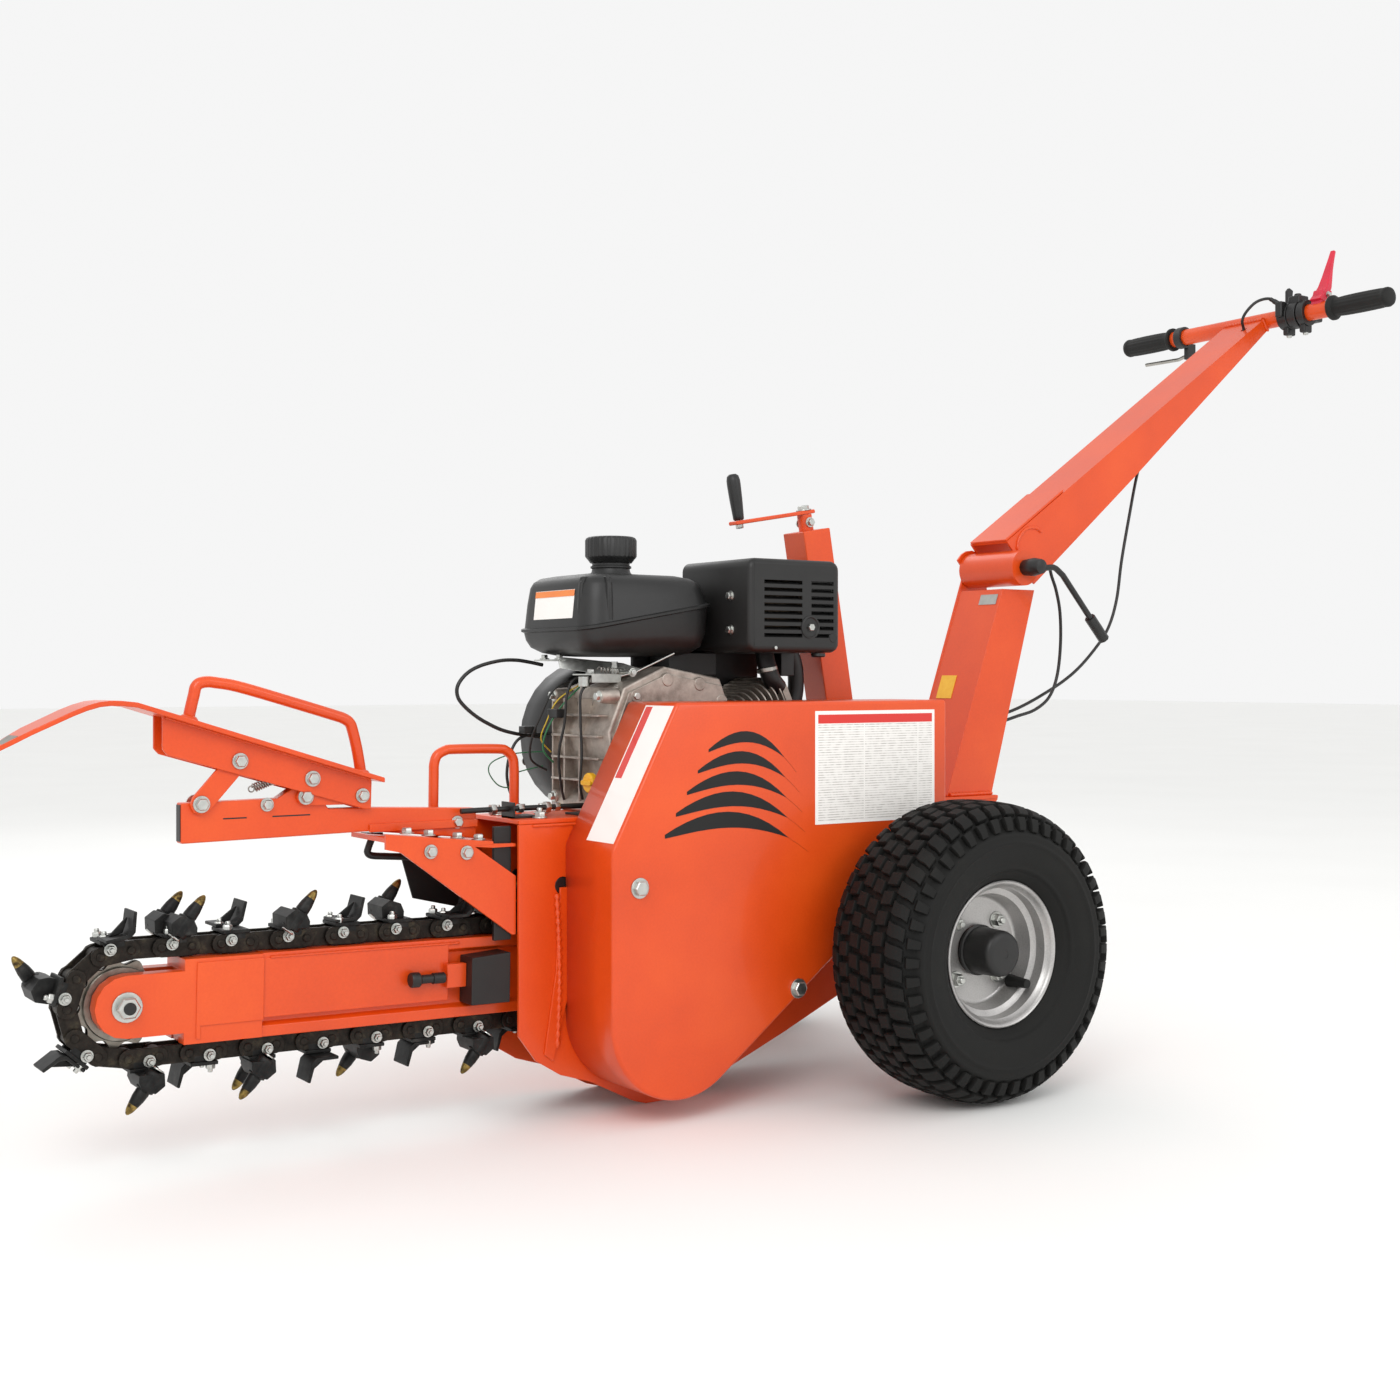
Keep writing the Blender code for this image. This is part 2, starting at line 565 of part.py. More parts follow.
def station(distance):
    """A point on the chain's centre line and its direction of travel."""
    bend = pi * CHAIN_R
    lap = 2 * (chord + bend)
    d = distance % lap
    if d < chord:
        return (chord - d, CHAIN_R), pi
    d -= chord
    if d < bend:
        a = pi / 2 + d / CHAIN_R
        return (CHAIN_R * cos(a), CHAIN_R * sin(a)), a + pi / 2
    d -= bend
    if d < chord:
        return (d, -CHAIN_R), 0.0
    d -= chord
    a = -pi / 2 + d / CHAIN_R
    return (chord + CHAIN_R * cos(a), CHAIN_R * sin(a)), a + pi / 2


# A tooth is a base, whose last edge carries a leaning tip: (base outline, tip corners)
pick = ([(0.006, 0.030), (0.017, 0.018), (0.017, 0.0085), (-0.015, 0.0085), (-0.015, 0.017), (-0.003, 0.021)],
        [(-0.022, 0.058), (-0.016, 0.062)])
cup = ([(-0.008, 0.022), (0.017, 0.016), (0.017, 0.0085), (-0.015, 0.0085), (-0.018, 0.018)],
       [(-0.026, 0.044), (-0.018, 0.046)])
spread = [(-0.056, -0.020, pick), (0.012, 0.050, cup), (-0.018, 0.018, pick), (-0.050, -0.012, cup),
          (0.020, 0.056, pick), (-0.018, 0.018, cup)]
BASE_HALF = 0.019
teeth = bmesh.new()
lap = 2 * (chord + pi * CHAIN_R)
for i in range(STATIONS):
    (x, z), heading = station((i + 0.35) * lap / STATIONS)
    y0, y1, (base, tip) = spread[i % len(spread)]
    ahead = Vector((cos(heading), 0, sin(heading)))
    out = Vector((sin(heading), 0, -cos(heading)))
    sides = []
    for base_y, tip_y in ((-BASE_HALF, y0), (BASE_HALF, y1)):
        levels = [(p, q, base_y) for p, q in base] + [(p, q, tip_y) for p, q in tip]
        sides.append([teeth.verts.new(Vector((x, y, z)) + ahead * p + out * q) for p, q, y in levels])
    near, far = sides
    n = len(base)
    for corners in (near, far):
        teeth.faces.new(corners[:n])
        teeth.faces.new((corners[n - 1], corners[n], corners[n + 1], corners[0]))
    around = list(range(n)) + [n, n + 1]
    for a, b in zip(around, around[1:] + around[:1]):
        teeth.faces.new((near[a], near[b], far[b], far[a]))
weld(chain, place("chain_teeth", mesh_from(teeth, "chain_teeth"), None, (NOSE[0], 0, NOSE[1]), SLOPE))

head_at = (HEAD[0], 0, HEAD[1])
turned("head_shaft", [(0, -0.075), (0.0125, -0.075), (0.0125, 0.1560), (0, 0.1560)], STEEL, head_at, steps=16)
turned("drive_sprocket", sprocket_profile(0.010, 0.0125 + GAP), STEEL, head_at, steps=22)
turned("head_bearing", [(0.0128, -0.015), (0.0300, -0.015), (0.0300, 0.0), (0.0128, 0.0)], CAST,
       (HEAD[0], 0.0405, HEAD[1]), steps=16)

# ---------------------------------------------------------------- belt drive

ENGINE_PULLEY_R = 0.035
SHAFT_PULLEY_R = 0.078
BELT_Y = -0.125
turned("engine_pulley", pulley_profile(ENGINE_PULLEY_R, 0.024, 0.0105, 0.006), STEEL,
       (CRANK[0], BELT_Y, CRANK[1]), steps=20)
turned("driven_pulley", pulley_profile(SHAFT_PULLEY_R, 0.024, 0.0125 + GAP, 0.006), STEEL,
       (HEAD[0], BELT_Y, HEAD[1]), steps=28)


def belt_loop(offset):
    """The belt's run round both pulleys, as an outline."""
    dx, dz = CRANK[0] - HEAD[0], CRANK[1] - HEAD[1]
    span = hypot(dx, dz)
    line = atan2(dz, dx)
    big, small = SHAFT_PULLEY_R + offset, ENGINE_PULLEY_R + offset
    lean = asin((big - small) / span)
    start = (line + pi / 2 - lean) * 180 / pi
    end = (line - pi / 2 + lean) * 180 / pi
    return arc(HEAD, big, start, end + 360, 14) + arc(CRANK, small, end, start, 8)


belt = plate("drive_belt", belt_loop(0.0075), BELT_Y - 0.0065, BELT_Y + 0.0065, BELT)
cut(belt, plate("belt_inside", belt_loop(0.0008), BELT_Y - 0.02, BELT_Y + 0.02, None))

# ---------------------------------------------------------------- engine

ENGINE_Z = DECK_Z + DECK_T + GAP
crankcase = plate("crankcase", [(-0.445, ENGINE_Z), (-0.215, ENGINE_Z), (-0.215, ENGINE_Z + 0.014),
                                (-0.235, ENGINE_Z + 0.030), (-0.215, 0.470), (-0.258, 0.572), (-0.350, 0.588),
                                (-0.415, 0.560), (-0.440, 0.500), (-0.428, ENGINE_Z + 0.030),
                                (-0.445, ENGINE_Z + 0.014)], -0.056, 0.090, CAST)
turned("engine_shaft", [(0, -0.02), (0.0102, -0.02), (0.0102, 0.0850), (0, 0.0850)], STEEL,
       (CRANK[0], -0.0563 - 0.0, CRANK[1]), steps=12)
shaft_recess = drum("crankcase_bore", 0.0112, -0.03, 0.02, None, (CRANK[0], -0.0563, CRANK[1]), steps=12)
cut(crankcase, shaft_recess)

turned("blower_housing", [(0, -0.0903), (0.098, -0.0903), (0.109, -0.100), (0.109, -0.165), (0.098, -0.178),
                          (0.070, -0.182), (0.060, -0.205), (0, -0.205)], BLACK, (-0.343, 0, 0.487), steps=28)
box("starter_grip", (-0.272, 0.2053, 0.545), (-0.232, 0.2203, 0.557), BLACK, at=(-0.252, 0.2053, 0.551))

cyl_at = (-0.213, 0.0, 0.485)
cylinder = box("cylinder_head", (0.0, -0.052, -0.058), (0.105, 0.068, 0.056), CAST, turn=-CYLINDER_TILT)
cylinder.location = cyl_at
fin_cuts = []
for i in range(6):
    for low, high in ((0.036, 0.08), (-0.08, -0.038)):
        fin = box(f"fin_gap_{i}_{'u' if low > 0 else 'd'}", (0.012 + i * 0.013, -0.10, low),
                  (0.018 + i * 0.013, 0.12, high), None, turn=-CYLINDER_TILT)
        fin.location = cyl_at
        fin_cuts.append(fin)
cut(cylinder, *fin_cuts)

tank_outline = [(-0.436, 0.602), (-0.290, 0.602), (-0.268, 0.640), (-0.262, 0.664), (-0.270, 0.690),
                (-0.300, 0.7155), (-0.452, 0.7155), (-0.470, 0.700), (-0.474, 0.664), (-0.466, 0.640)]
tank = plate("fuel_tank", tank_outline, -0.058, 0.145, BLACK)
chamfer = tank.modifiers.new("edge", "BEVEL")
chamfer.width = 0.014
chamfer.segments = 1
chamfer.limit_method = "ANGLE"
chamfer.angle_limit = radians(75)
neck = drum("tank_neck", 0.026, -0.01, 0.016, None, (-0.380, 0.035, 0.7155), axis="Z", steps=20)
weld(tank, neck)
turned("fuel_cap", [(0, 0.0165), (0.029, 0.0165), (0.036, 0.026), (0.036, 0.048), (0.030, 0.053), (0, 0.053)],
       BLACK, (-0.380, 0.035, 0.7155), axis="Z", steps=20)

muffler = box("muffler_guard", (-0.2535, -0.120, 0.608), (-0.095, 0.044, 0.737), BLACK)
edge = muffler.modifiers.new("edge", "BEVEL")
edge.width = 0.010
edge.segments = 2
cut(muffler, box("muffler_hollow", (-0.249, -0.114, 0.6125), (-0.0995, 0.060, 0.7325), None))
turned("muffler", [(0, -0.035), (0.040, -0.035), (0.050, -0.027), (0.050, 0.095), (0.040, 0.103), (0, 0.103)],
       STEEL, (-0.174, 0.0, 0.672), steps=20)
box("air_cleaner", (-0.250, 0.0600, 0.612), (-0.110, 0.190, 0.706), BLACK)
turned("oil_filler", [(0, 0), (0.008, 0), (0.008, -0.012), (0.0135, -0.014), (0.0135, -0.026), (0, -0.026)],
       YELLOW, (-0.4345, -0.030, 0.432), axis="X", steps=12)

# ---------------------------------------------------------------- crumber

ARM_NEAR, ARM_FAR = -0.009, 0.009
guard_arm = plate("crumber_arm", [(-0.998, 0.378), (-0.760, 0.381), (-0.612, 0.3645), (-0.612, 0.404), (-0.760, 0.411),
                                  (-0.815, 0.412), (-0.835, 0.440), (-0.860, 0.440), (-0.880, 0.427),
                                  (-0.998, 0.426)], ARM_NEAR, ARM_FAR, ORANGE)
brace = plate("arm_brace", [(-0.760, 0.3615), (-0.740, 0.3570), (-0.585, 0.2430), (-0.5795, 0.2430), (-0.5795, 0.3180),
                            (-0.640, 0.3600), (-0.612, 0.3605), (-0.612, 0.3640), (-0.760, 0.3804)],
              -0.0560, -0.0510, ORANGE)
weld(brace, plate("brace_top", [(-0.760, 0.3700), (-0.612, 0.3560), (-0.5795, 0.3560), (-0.5795, 0.3600),
                                (-0.612, 0.3610), (-0.760, 0.3760)], -0.0555, 0.0500, None))

pin_a = (PIN_A[0], 0, PIN_A[1])
pin_b = (PIN_B[0], 0, PIN_B[1])
pin_d = (PIN_D[0], 0, PIN_D[1])


def link_outline(start, end, width):
    """A flat link with round ends between two pins."""
    a = atan2(end[1] - start[1], end[0] - start[0]) * 180 / pi
    return arc(start, width / 2, a + 90, a + 270, 4) + arc(end, width / 2, a - 90, a + 90, 4)


plate("front_link", link_outline(PIN_A, PIN_B, 0.026), -0.0145, -0.0095, ORANGE, pin_a)
plate("rear_link", link_outline(PIN_D, PIN_C, 0.022), -0.0145, -0.0095, ORANGE, pin_d)

LEAF_TURN = atan2(0.545 - 0.449, 1.056 - 0.751)


def leaf_point(x, up):
    """A point under the blade's straight part, measured along X from pivot B."""
    return (PIN_B[0] + x, 0.545 - (PIN_B[0] + x + 1.056) * (0.096 / 0.305) + up)


flange_outline = [leaf_point(-0.092, -0.0060), leaf_point(-0.092, -0.045), leaf_point(0.164, -0.045),
                  leaf_point(0.168, -0.0060)]
flanges = [plate(f"crumber_flange_{i}", flange_outline, y, y + 0.004, None, pin_b)
           for i, y in enumerate((-0.0190, 0.0150))]

blade_top = [(-1.203, 0.497), (-1.127, 0.536), (-1.098, 0.546), (-1.074, 0.547), (-1.056, 0.545), (-0.751, 0.449)]


def blade_outline(thick):
    """The bent blade from the side, a constant thickness measured downwards."""
    return blade_top + [(x, z - thick) for x, z in reversed(blade_top)]


blade = plate("crumber_blade", blade_outline(0.0065), -0.034, 0.034, ORANGE, pin_b)
for v in blade.data.vertices:
    if v.co.x + PIN_B[0] < -1.19:
        v.co.y *= 0.3
weld(blade, *flanges)

LOOP_R = 0.0070
loop_y = 0.0
rod("crumber_handle", filleted([(-0.986, loop_y, 0.5275), (-0.976, loop_y, 0.5700), (-0.925, loop_y, 0.5620),
                                (-0.785, loop_y, 0.5210), (-0.768, loop_y, 0.4595)], 0.024),
    LOOP_R, ORANGE, pin_b)

spring_low = Vector((-0.911, 0.4370))
spring_high = Vector((-0.854, 0.4580))
lean = (spring_high - spring_low).normalized()
spring_from = spring_low + lean * 0.006
spring_to = spring_high - lean * 0.006
rod("crumber_spring", [(spring_from.x, 0.0075, spring_from.y), (spring_to.x, 0.0075, spring_to.y)], 0.0060, STEEL)

# Soil shield behind the brace and the second hand loop
plate("soil_shield", [(-0.694, 0.352), (-0.674, 0.285), (-0.5805, 0.262), (-0.5805, 0.352)], 0.0500, 0.0530, BLACK)
rod("tie_loop", filleted([(-0.6500, 0.040, 0.3662), (-0.6480, 0.040, 0.4790), (-0.5300, 0.040, 0.4770),
                          (-0.5300, 0.040, DECK_Z + DECK_T + GAP)], 0.022), 0.0065, ORANGE)

# ---------------------------------------------------------------- control cables

CABLE_R = 0.0026
throttle_points = [(0.9480, -0.0715, 1.2350), (0.9330, -0.0610, 1.2450), (0.9160, -0.0470, 1.2400),
                   (0.9060, -0.0330, 1.2240), (0.9060, -0.0235, 1.2090), arm_point(0.750, 0.0110, -0.0200),
                   arm_point(0.740, 0.0000, -0.0190), arm_point(0.700, -0.0060, -0.0150),
                   arm_point(0.600, -0.0080, -0.0080), arm_point(0.500, -0.0160, 0.0), arm_point(0.430, -0.0300, 0.0),
                   (0.6570, 0.0, 0.9200), (0.6370, 0.0, 0.8470), (0.6180, 0.0, 0.7700), (0.6060, 0.0, 0.7050),
                   (0.5850, 0.0, 0.6560), (0.5500, 0.0, 0.6180), (0.5010, 0.0, 0.5800), (0.4420, 0.0020, 0.5490),
                   (0.3700, 0.0060, 0.5200), (0.3000, 0.0100, 0.5050), (0.2350, 0.0120, 0.5000)]
rod("throttle_cable", smooth_route(throttle_points, 78), CABLE_R, RUBBER)

clutch_points = [arm_point(0.160, -0.0100, -0.0200), arm_point(0.120, -0.0300, -0.0200), (0.4260, -0.0200, 0.7500),
                 (0.4400, -0.0200, 0.7150), (0.4490, -0.0200, 0.6780), (0.4500, -0.0200, 0.6260),
                 (0.4420, -0.0200, 0.5750), (0.4230, -0.0200, 0.5400), (0.3900, -0.0200, 0.5200),
                 (0.3490, -0.0200, 0.5100), (0.2900, -0.0200, 0.4950), (0.2300, -0.0200, 0.4750)]
rod("clutch_cable", smooth_route(clutch_points, 46), CABLE_R, RUBBER)

# The slack of the throttle cable swings out past the front of the engine
LOOP_Y = 0.090
loop_points = [(-0.4580, 0.5905), (-0.4800, 0.5945), (-0.5010, 0.5970), (-0.5250, 0.5960), (-0.5550, 0.5890),
               (-0.5760, 0.5780), (-0.5890, 0.5620), (-0.5890, 0.5470), (-0.5790, 0.5340), (-0.5610, 0.5200),
               (-0.5430, 0.5100), (-0.5220, 0.5010), (-0.4970, 0.4950), (-0.4620, 0.4900)]
rod("engine_cable", smooth_route([(x, LOOP_Y, z) for x, z in loop_points], 50), CABLE_R, RUBBER)
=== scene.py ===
import bmesh
import bpy
import json
from math import atan2, cos, hypot, pi, radians, sin
from mathutils import Matrix, Vector

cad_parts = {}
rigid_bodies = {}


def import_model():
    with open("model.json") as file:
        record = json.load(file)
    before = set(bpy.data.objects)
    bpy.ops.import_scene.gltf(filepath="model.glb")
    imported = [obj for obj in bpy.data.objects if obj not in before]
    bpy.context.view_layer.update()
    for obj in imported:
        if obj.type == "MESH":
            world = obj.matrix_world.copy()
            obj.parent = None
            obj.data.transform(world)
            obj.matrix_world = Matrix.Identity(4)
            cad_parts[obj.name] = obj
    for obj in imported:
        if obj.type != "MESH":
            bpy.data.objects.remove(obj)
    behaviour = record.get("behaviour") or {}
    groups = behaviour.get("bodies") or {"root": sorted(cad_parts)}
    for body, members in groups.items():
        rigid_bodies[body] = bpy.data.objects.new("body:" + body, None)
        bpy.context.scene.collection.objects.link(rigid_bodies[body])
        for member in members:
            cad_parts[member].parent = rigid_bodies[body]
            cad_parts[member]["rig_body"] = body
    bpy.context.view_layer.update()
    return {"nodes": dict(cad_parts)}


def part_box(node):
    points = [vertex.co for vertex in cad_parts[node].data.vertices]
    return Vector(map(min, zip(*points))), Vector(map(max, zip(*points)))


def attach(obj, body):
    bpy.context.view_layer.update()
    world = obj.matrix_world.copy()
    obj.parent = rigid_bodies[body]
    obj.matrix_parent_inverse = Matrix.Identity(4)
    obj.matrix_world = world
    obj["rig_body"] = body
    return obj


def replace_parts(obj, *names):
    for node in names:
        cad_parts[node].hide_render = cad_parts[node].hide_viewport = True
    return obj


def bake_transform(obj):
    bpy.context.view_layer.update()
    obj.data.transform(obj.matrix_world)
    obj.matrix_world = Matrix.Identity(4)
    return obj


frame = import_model()

# The machine is set out from the point on the ground under the middle of its axle.
wheel_low, wheel_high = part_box("rim_near")
AXLE_X = (wheel_low.x + wheel_high.x) / 2


def at(x, y, z):
    """A point from under the axle: X to the handles, Y to the far side, Z up."""
    return Vector((AXLE_X + x, y, z))


# ---------------------------------------------------------------- camera and studio
# A camera at waist height, level, in front of the boom and to the near side of it. The lamps
# are wide soft boxes, and the floor is pale painted concrete that the light fills nearly white.

CAMERA_TURN = radians(34.6)
CAMERA_LENS_MM = 44.87
HORIZON_SHIFT = -0.0171

camera = bpy.data.objects.new("camera", bpy.data.cameras.new("camera"))
camera.location = at(-1.6587, -2.0372, 0.575)
camera.rotation_euler = (pi / 2, 0, -CAMERA_TURN)
camera.data.lens = CAMERA_LENS_MM
camera.data.shift_y = HORIZON_SHIFT
bpy.context.scene.collection.objects.link(camera)
bpy.context.scene.camera = camera
bpy.context.scene.view_settings.view_transform = "Standard"

sky = bpy.data.worlds.new("studio")
sky.use_nodes = True
sky.node_tree.nodes["Background"].inputs["Color"].default_value = (1.0, 1.0, 1.0, 1)
sky.node_tree.nodes["Background"].inputs["Strength"].default_value = 0.92
bpy.context.scene.world = sky

# Each soft box: name, where it hangs, what it is aimed at, its side in metres, its power in watts
for name, spot, aim, side, power in (
        ("key_box", at(-2.6, -2.6, 2.9), at(-0.3, 0, 0.5), 2.0, 55),
        ("near_box", at(1.2, -3.6, 2.2), at(0, 0, 0.5), 1.6, 20),
        ("far_box", at(0.4, 3.4, 3.0), at(0, 0, 0.6), 2.0, 26)):
    lamp = bpy.data.objects.new(name, bpy.data.lights.new(name, "AREA"))
    lamp.data.size = side
    lamp.data.energy = power
    lamp.location = spot
    lamp.rotation_euler = (aim - spot).to_track_quat("-Z", "Y").to_euler()
    bpy.context.scene.collection.objects.link(lamp)


def linear(hex_colour):
    """A hex sRGB colour as linear RGBA."""
    raw = [int(hex_colour[i:i + 2], 16) / 255 for i in (0, 2, 4)]
    return [c / 12.92 if c <= 0.04045 else ((c + 0.055) / 1.055) ** 2.4 for c in raw] + [1]


def add(tree, kind, settings=None, links=None):
    """Add one node: its settings and unlinked inputs by name, then its links by input."""
    made = tree.nodes.new("ShaderNode" + kind)
    for key, value in (settings or {}).items():
        if isinstance(key, str) and hasattr(made, key):
            setattr(made, key, value)
        else:
            made.inputs[key].default_value = value
    for key, source in (links or {}).items():
        tree.links.new(source, made.inputs[key])
    return made


def new_finish(name, slot=None, **values):
    """A material with its uniform values set on the shader, and the slot it stands for."""
    made = bpy.data.materials.new(name)
    made.use_nodes = True
    shader = made.node_tree.nodes["Principled BSDF"]
    for key, value in values.items():
        shader.inputs[key.replace("_", " ").title().replace("Ior", "IOR")].default_value = value
    if slot:
        made["slot"] = slot
    place = add(made.node_tree, "TexCoord").outputs["Object"]
    return made, made.node_tree, shader, place


def blended(tree, factor, *hexes, spots=None):
    """A colour that runs through several hex colours as a factor goes from 0 to 1."""
    ramp = add(tree, "ValToRGB", links={"Fac": factor})
    marks = ramp.color_ramp.elements
    spots = spots or [i / (len(hexes) - 1) for i in range(len(hexes))]
    while len(marks) < len(hexes):
        marks.new(0.5)
    for mark, spot, colour in zip(marks, spots, hexes):
        mark.position = spot
        mark.color = linear(colour)
    return ramp.outputs["Color"]


def per_metre(millimetres):
    """A pattern's scale, so that one of its cells is that many millimetres across."""
    return 1000.0 / millimetres


def wave_scale(millimetres):
    """A wave pattern's scale, so that its bands are that many millimetres apart."""
    return per_metre(millimetres) * pi / 10


def raised(tree, shader, height, strength, depth):
    """Bump a shader's surface by a pattern: how strongly, and how deep in metres."""
    bump = add(tree, "Bump", {"Strength": strength, "Distance": depth}, {"Height": height})
    tree.links.new(bump.outputs["Normal"], shader.inputs["Normal"])


def weathered(name, slot, patterns, hexes, spots=None, gloss=None, gloss_by=0, relief=None, **values):
    """A material coloured by the first of its noise patterns and raised by the last.

    A pattern is its size in mm, its detail and, where that isn't 0.5, its roughness. Gloss is the
    shader's roughness from low to high, and relief is the bump's strength and depth in metres.
    """
    made, tree, shader, place = new_finish(name, slot, **values)
    noises = []
    for size, detail, *rough in patterns:
        settings = {"Scale": per_metre(size), "Detail": detail, "Roughness": rough[0] if rough else 0.5}
        noises.append(add(tree, "TexNoise", settings, {"Vector": place}).outputs["Fac"])
    tree.links.new(blended(tree, noises[0], *hexes, spots=spots), shader.inputs["Base Color"])
    if gloss:
        spread = add(tree, "MapRange", {"To Min": gloss[0], "To Max": gloss[1]}, {"Value": noises[gloss_by]})
        tree.links.new(spread.outputs["Result"], shader.inputs["Roughness"])
    if relief:
        raised(tree, shader, noises[-1], *relief)
    return made


# Painted concrete: matt, with faint clouding, so that it reads as a floor and not as a void
concrete = weathered("painted_concrete", None, [(700, 4), (5, 2)], ("F4F4F2", "FAFAF8"),
                     relief=(0.12, 0.0006), roughness=0.75)

FLOOR_HALF = 30.0
FLOOR_DROP = 0.0006
ground = bmesh.new()
bmesh.ops.create_grid(ground, x_segments=8, y_segments=8, size=FLOOR_HALF)
ground_mesh = bpy.data.meshes.new("floor")
ground.to_mesh(ground_mesh)
ground.free()
ground_mesh.materials.append(concrete)
floor = bpy.data.objects.new("floor", ground_mesh)
floor.location = (0, 0, -FLOOR_DROP)
bpy.context.scene.collection.objects.link(floor)


# ---------------------------------------------------------------- control cables
# Three Bowden cables: a steel wire in a black PVC sheath, 5 mm thick. One drops from the handle
# through the arm to the column, one from the arm's foot, and one loops out before the engine.

# PVC sheath: smooth, low gloss, with the faint rib of the coil under it
sheath, tree, shader, place = new_finish("pvc_cable_sheath", "rubber", roughness=0.42, ior=1.53)
ribs = add(tree, "TexWave", {"Scale": wave_scale(9), "bands_direction": "Z", "Distortion": 1.5},
           {"Vector": place})
dust = add(tree, "TexNoise", {"Scale": per_metre(30), "Detail": 3}, {"Vector": place})
tree.links.new(blended(tree, dust.outputs["Fac"], "0B0B0B", "1C1C1B"), shader.inputs["Base Color"])
raised(tree, shader, ribs.outputs["Fac"], 0.2, 0.0003)


def smooth_route(points, count):
    """Evenly counted points on a Catmull-Rom curve through a route."""
    ends = [points[0]] + list(points) + [points[-1]]
    spans = len(points) - 1
    route = []
    for i in range(count):
        t = min(i * spans / (count - 1), spans - 1e-9)
        k = int(t)
        t -= k
        a, b, c, d = [Vector(p) for p in ends[k:k + 4]]
        route.append(0.5 * (2 * b + (c - a) * t + (2 * a - 5 * b + 4 * c - d) * t ** 2
                            + (3 * b - a - 3 * c + d) * t ** 3))
    return route


def loft(bm, rings, capped=True, looped=False):
    """Faces between rings of points with the same count."""
    made = [[bm.verts.new(p) for p in ring] for ring in rings]
    count = len(made[0])
    pairs = list(zip(made, made[1:])) + ([(made[-1], made[0])] if looped else [])
    for a, b in pairs:
        for k in range(count):
            j = (k + 1) % count
            bm.faces.new((a[k], a[j], b[j], b[k]))
    if capped and not looped:
        bm.faces.new(made[0])
        bm.faces.new(made[-1])
    return made


def tube(bm, route, radius, sides=10):
    """A round bar along a route; its ring turns with the route and never twists."""
    route = [Vector(p) for p in route]
    ahead = (route[1] - route[0]).normalized()
    across = ahead.orthogonal().normalized()
    rings = []
    for i, point in enumerate(route):
        step = (route[min(i + 1, len(route) - 1)] - route[max(i - 1, 0)]).normalized()
        across = (across - step * across.dot(step)).normalized()
        side = step.cross(across)
        thick = radius[i] if isinstance(radius, (list, tuple)) else radius
        turns = [2 * pi * k / sides for k in range(sides)]
        rings.append([point + thick * (across * cos(a) + side * sin(a)) for a in turns])
    loft(bm, rings)


def shown(name, bm, finish, body, bevel=0.0, smooth=38, segments=2):
    """Make a mesh piece that rides on a body, with softened edges where a bevel is given."""
    bmesh.ops.recalc_face_normals(bm, faces=bm.faces)
    data = bpy.data.meshes.new(name)
    bm.to_mesh(data)
    bm.free()
    data.shade_smooth()
    data.set_sharp_from_angle(angle=radians(smooth))
    data.materials.append(finish)
    made = bpy.data.objects.new(name, data)
    bpy.context.scene.collection.objects.link(made)
    if bevel:
        soften = made.modifiers.new("soften", "BEVEL")
        soften.width = bevel
        soften.segments = segments
        soften.limit_method = "ANGLE"
        soften.angle_limit = radians(smooth)
        soften.harden_normals = True
    if body:
        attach(made, body)
    "slot" in finish
    return made


CABLE_R = 0.0026
PIVOT = (0.314, 0.745)
BAR = (0.957, 1.212)
ARM_LEAN = atan2(BAR[1] - PIVOT[1], BAR[0] - PIVOT[0])
ARM_LONG = hypot(BAR[0] - PIVOT[0], BAR[1] - PIVOT[1])


def on_arm(along, up, y):
    """A point on the handle arm, from its pivot along it and up across it."""
    return at(PIVOT[0] + along * cos(ARM_LEAN) - up * sin(ARM_LEAN), y,
              PIVOT[1] + along * sin(ARM_LEAN) + up * cos(ARM_LEAN))


throttle_points = [at(0.948, -0.0715, 1.235), at(0.933, -0.061, 1.245), at(0.916, -0.047, 1.24),
                   at(0.906, -0.033, 1.224), at(0.906, -0.0235, 1.209), on_arm(0.75, 0.011, -0.02),
                   on_arm(0.74, 0.0, -0.019), on_arm(0.7, -0.006, -0.015),
                   on_arm(0.6, -0.008, -0.008), on_arm(0.5, -0.016, 0.0), on_arm(0.43, -0.03, 0.0),
                   at(0.657, 0.0, 0.92), at(0.637, 0.0, 0.847), at(0.618, 0.0, 0.77),
                   at(0.606, 0.0, 0.705), at(0.585, 0.0, 0.656), at(0.55, 0.0, 0.618),
                   at(0.501, 0.0, 0.58), at(0.442, 0.002, 0.549), at(0.37, 0.006, 0.52),
                   at(0.3, 0.01, 0.505), at(0.235, 0.012, 0.5)]
clutch_points = [on_arm(0.16, -0.01, -0.02), on_arm(0.12, -0.03, -0.02), at(0.426, -0.02, 0.75),
                 at(0.44, -0.02, 0.715), at(0.449, -0.02, 0.678), at(0.45, -0.02, 0.626),
                 at(0.442, -0.02, 0.575), at(0.423, -0.02, 0.54), at(0.39, -0.02, 0.52),
                 at(0.349, -0.02, 0.51), at(0.29, -0.02, 0.495), at(0.23, -0.02, 0.475)]
LOOP_Y = 0.09
loop_points = [at(x, LOOP_Y, z) for x, z in (
    (-0.458, 0.5905), (-0.48, 0.5945), (-0.501, 0.597), (-0.525, 0.596), (-0.555, 0.589),
    (-0.576, 0.578), (-0.589, 0.562), (-0.589, 0.547), (-0.579, 0.534), (-0.561, 0.52),
    (-0.543, 0.51), (-0.522, 0.501), (-0.497, 0.495), (-0.462, 0.49))]

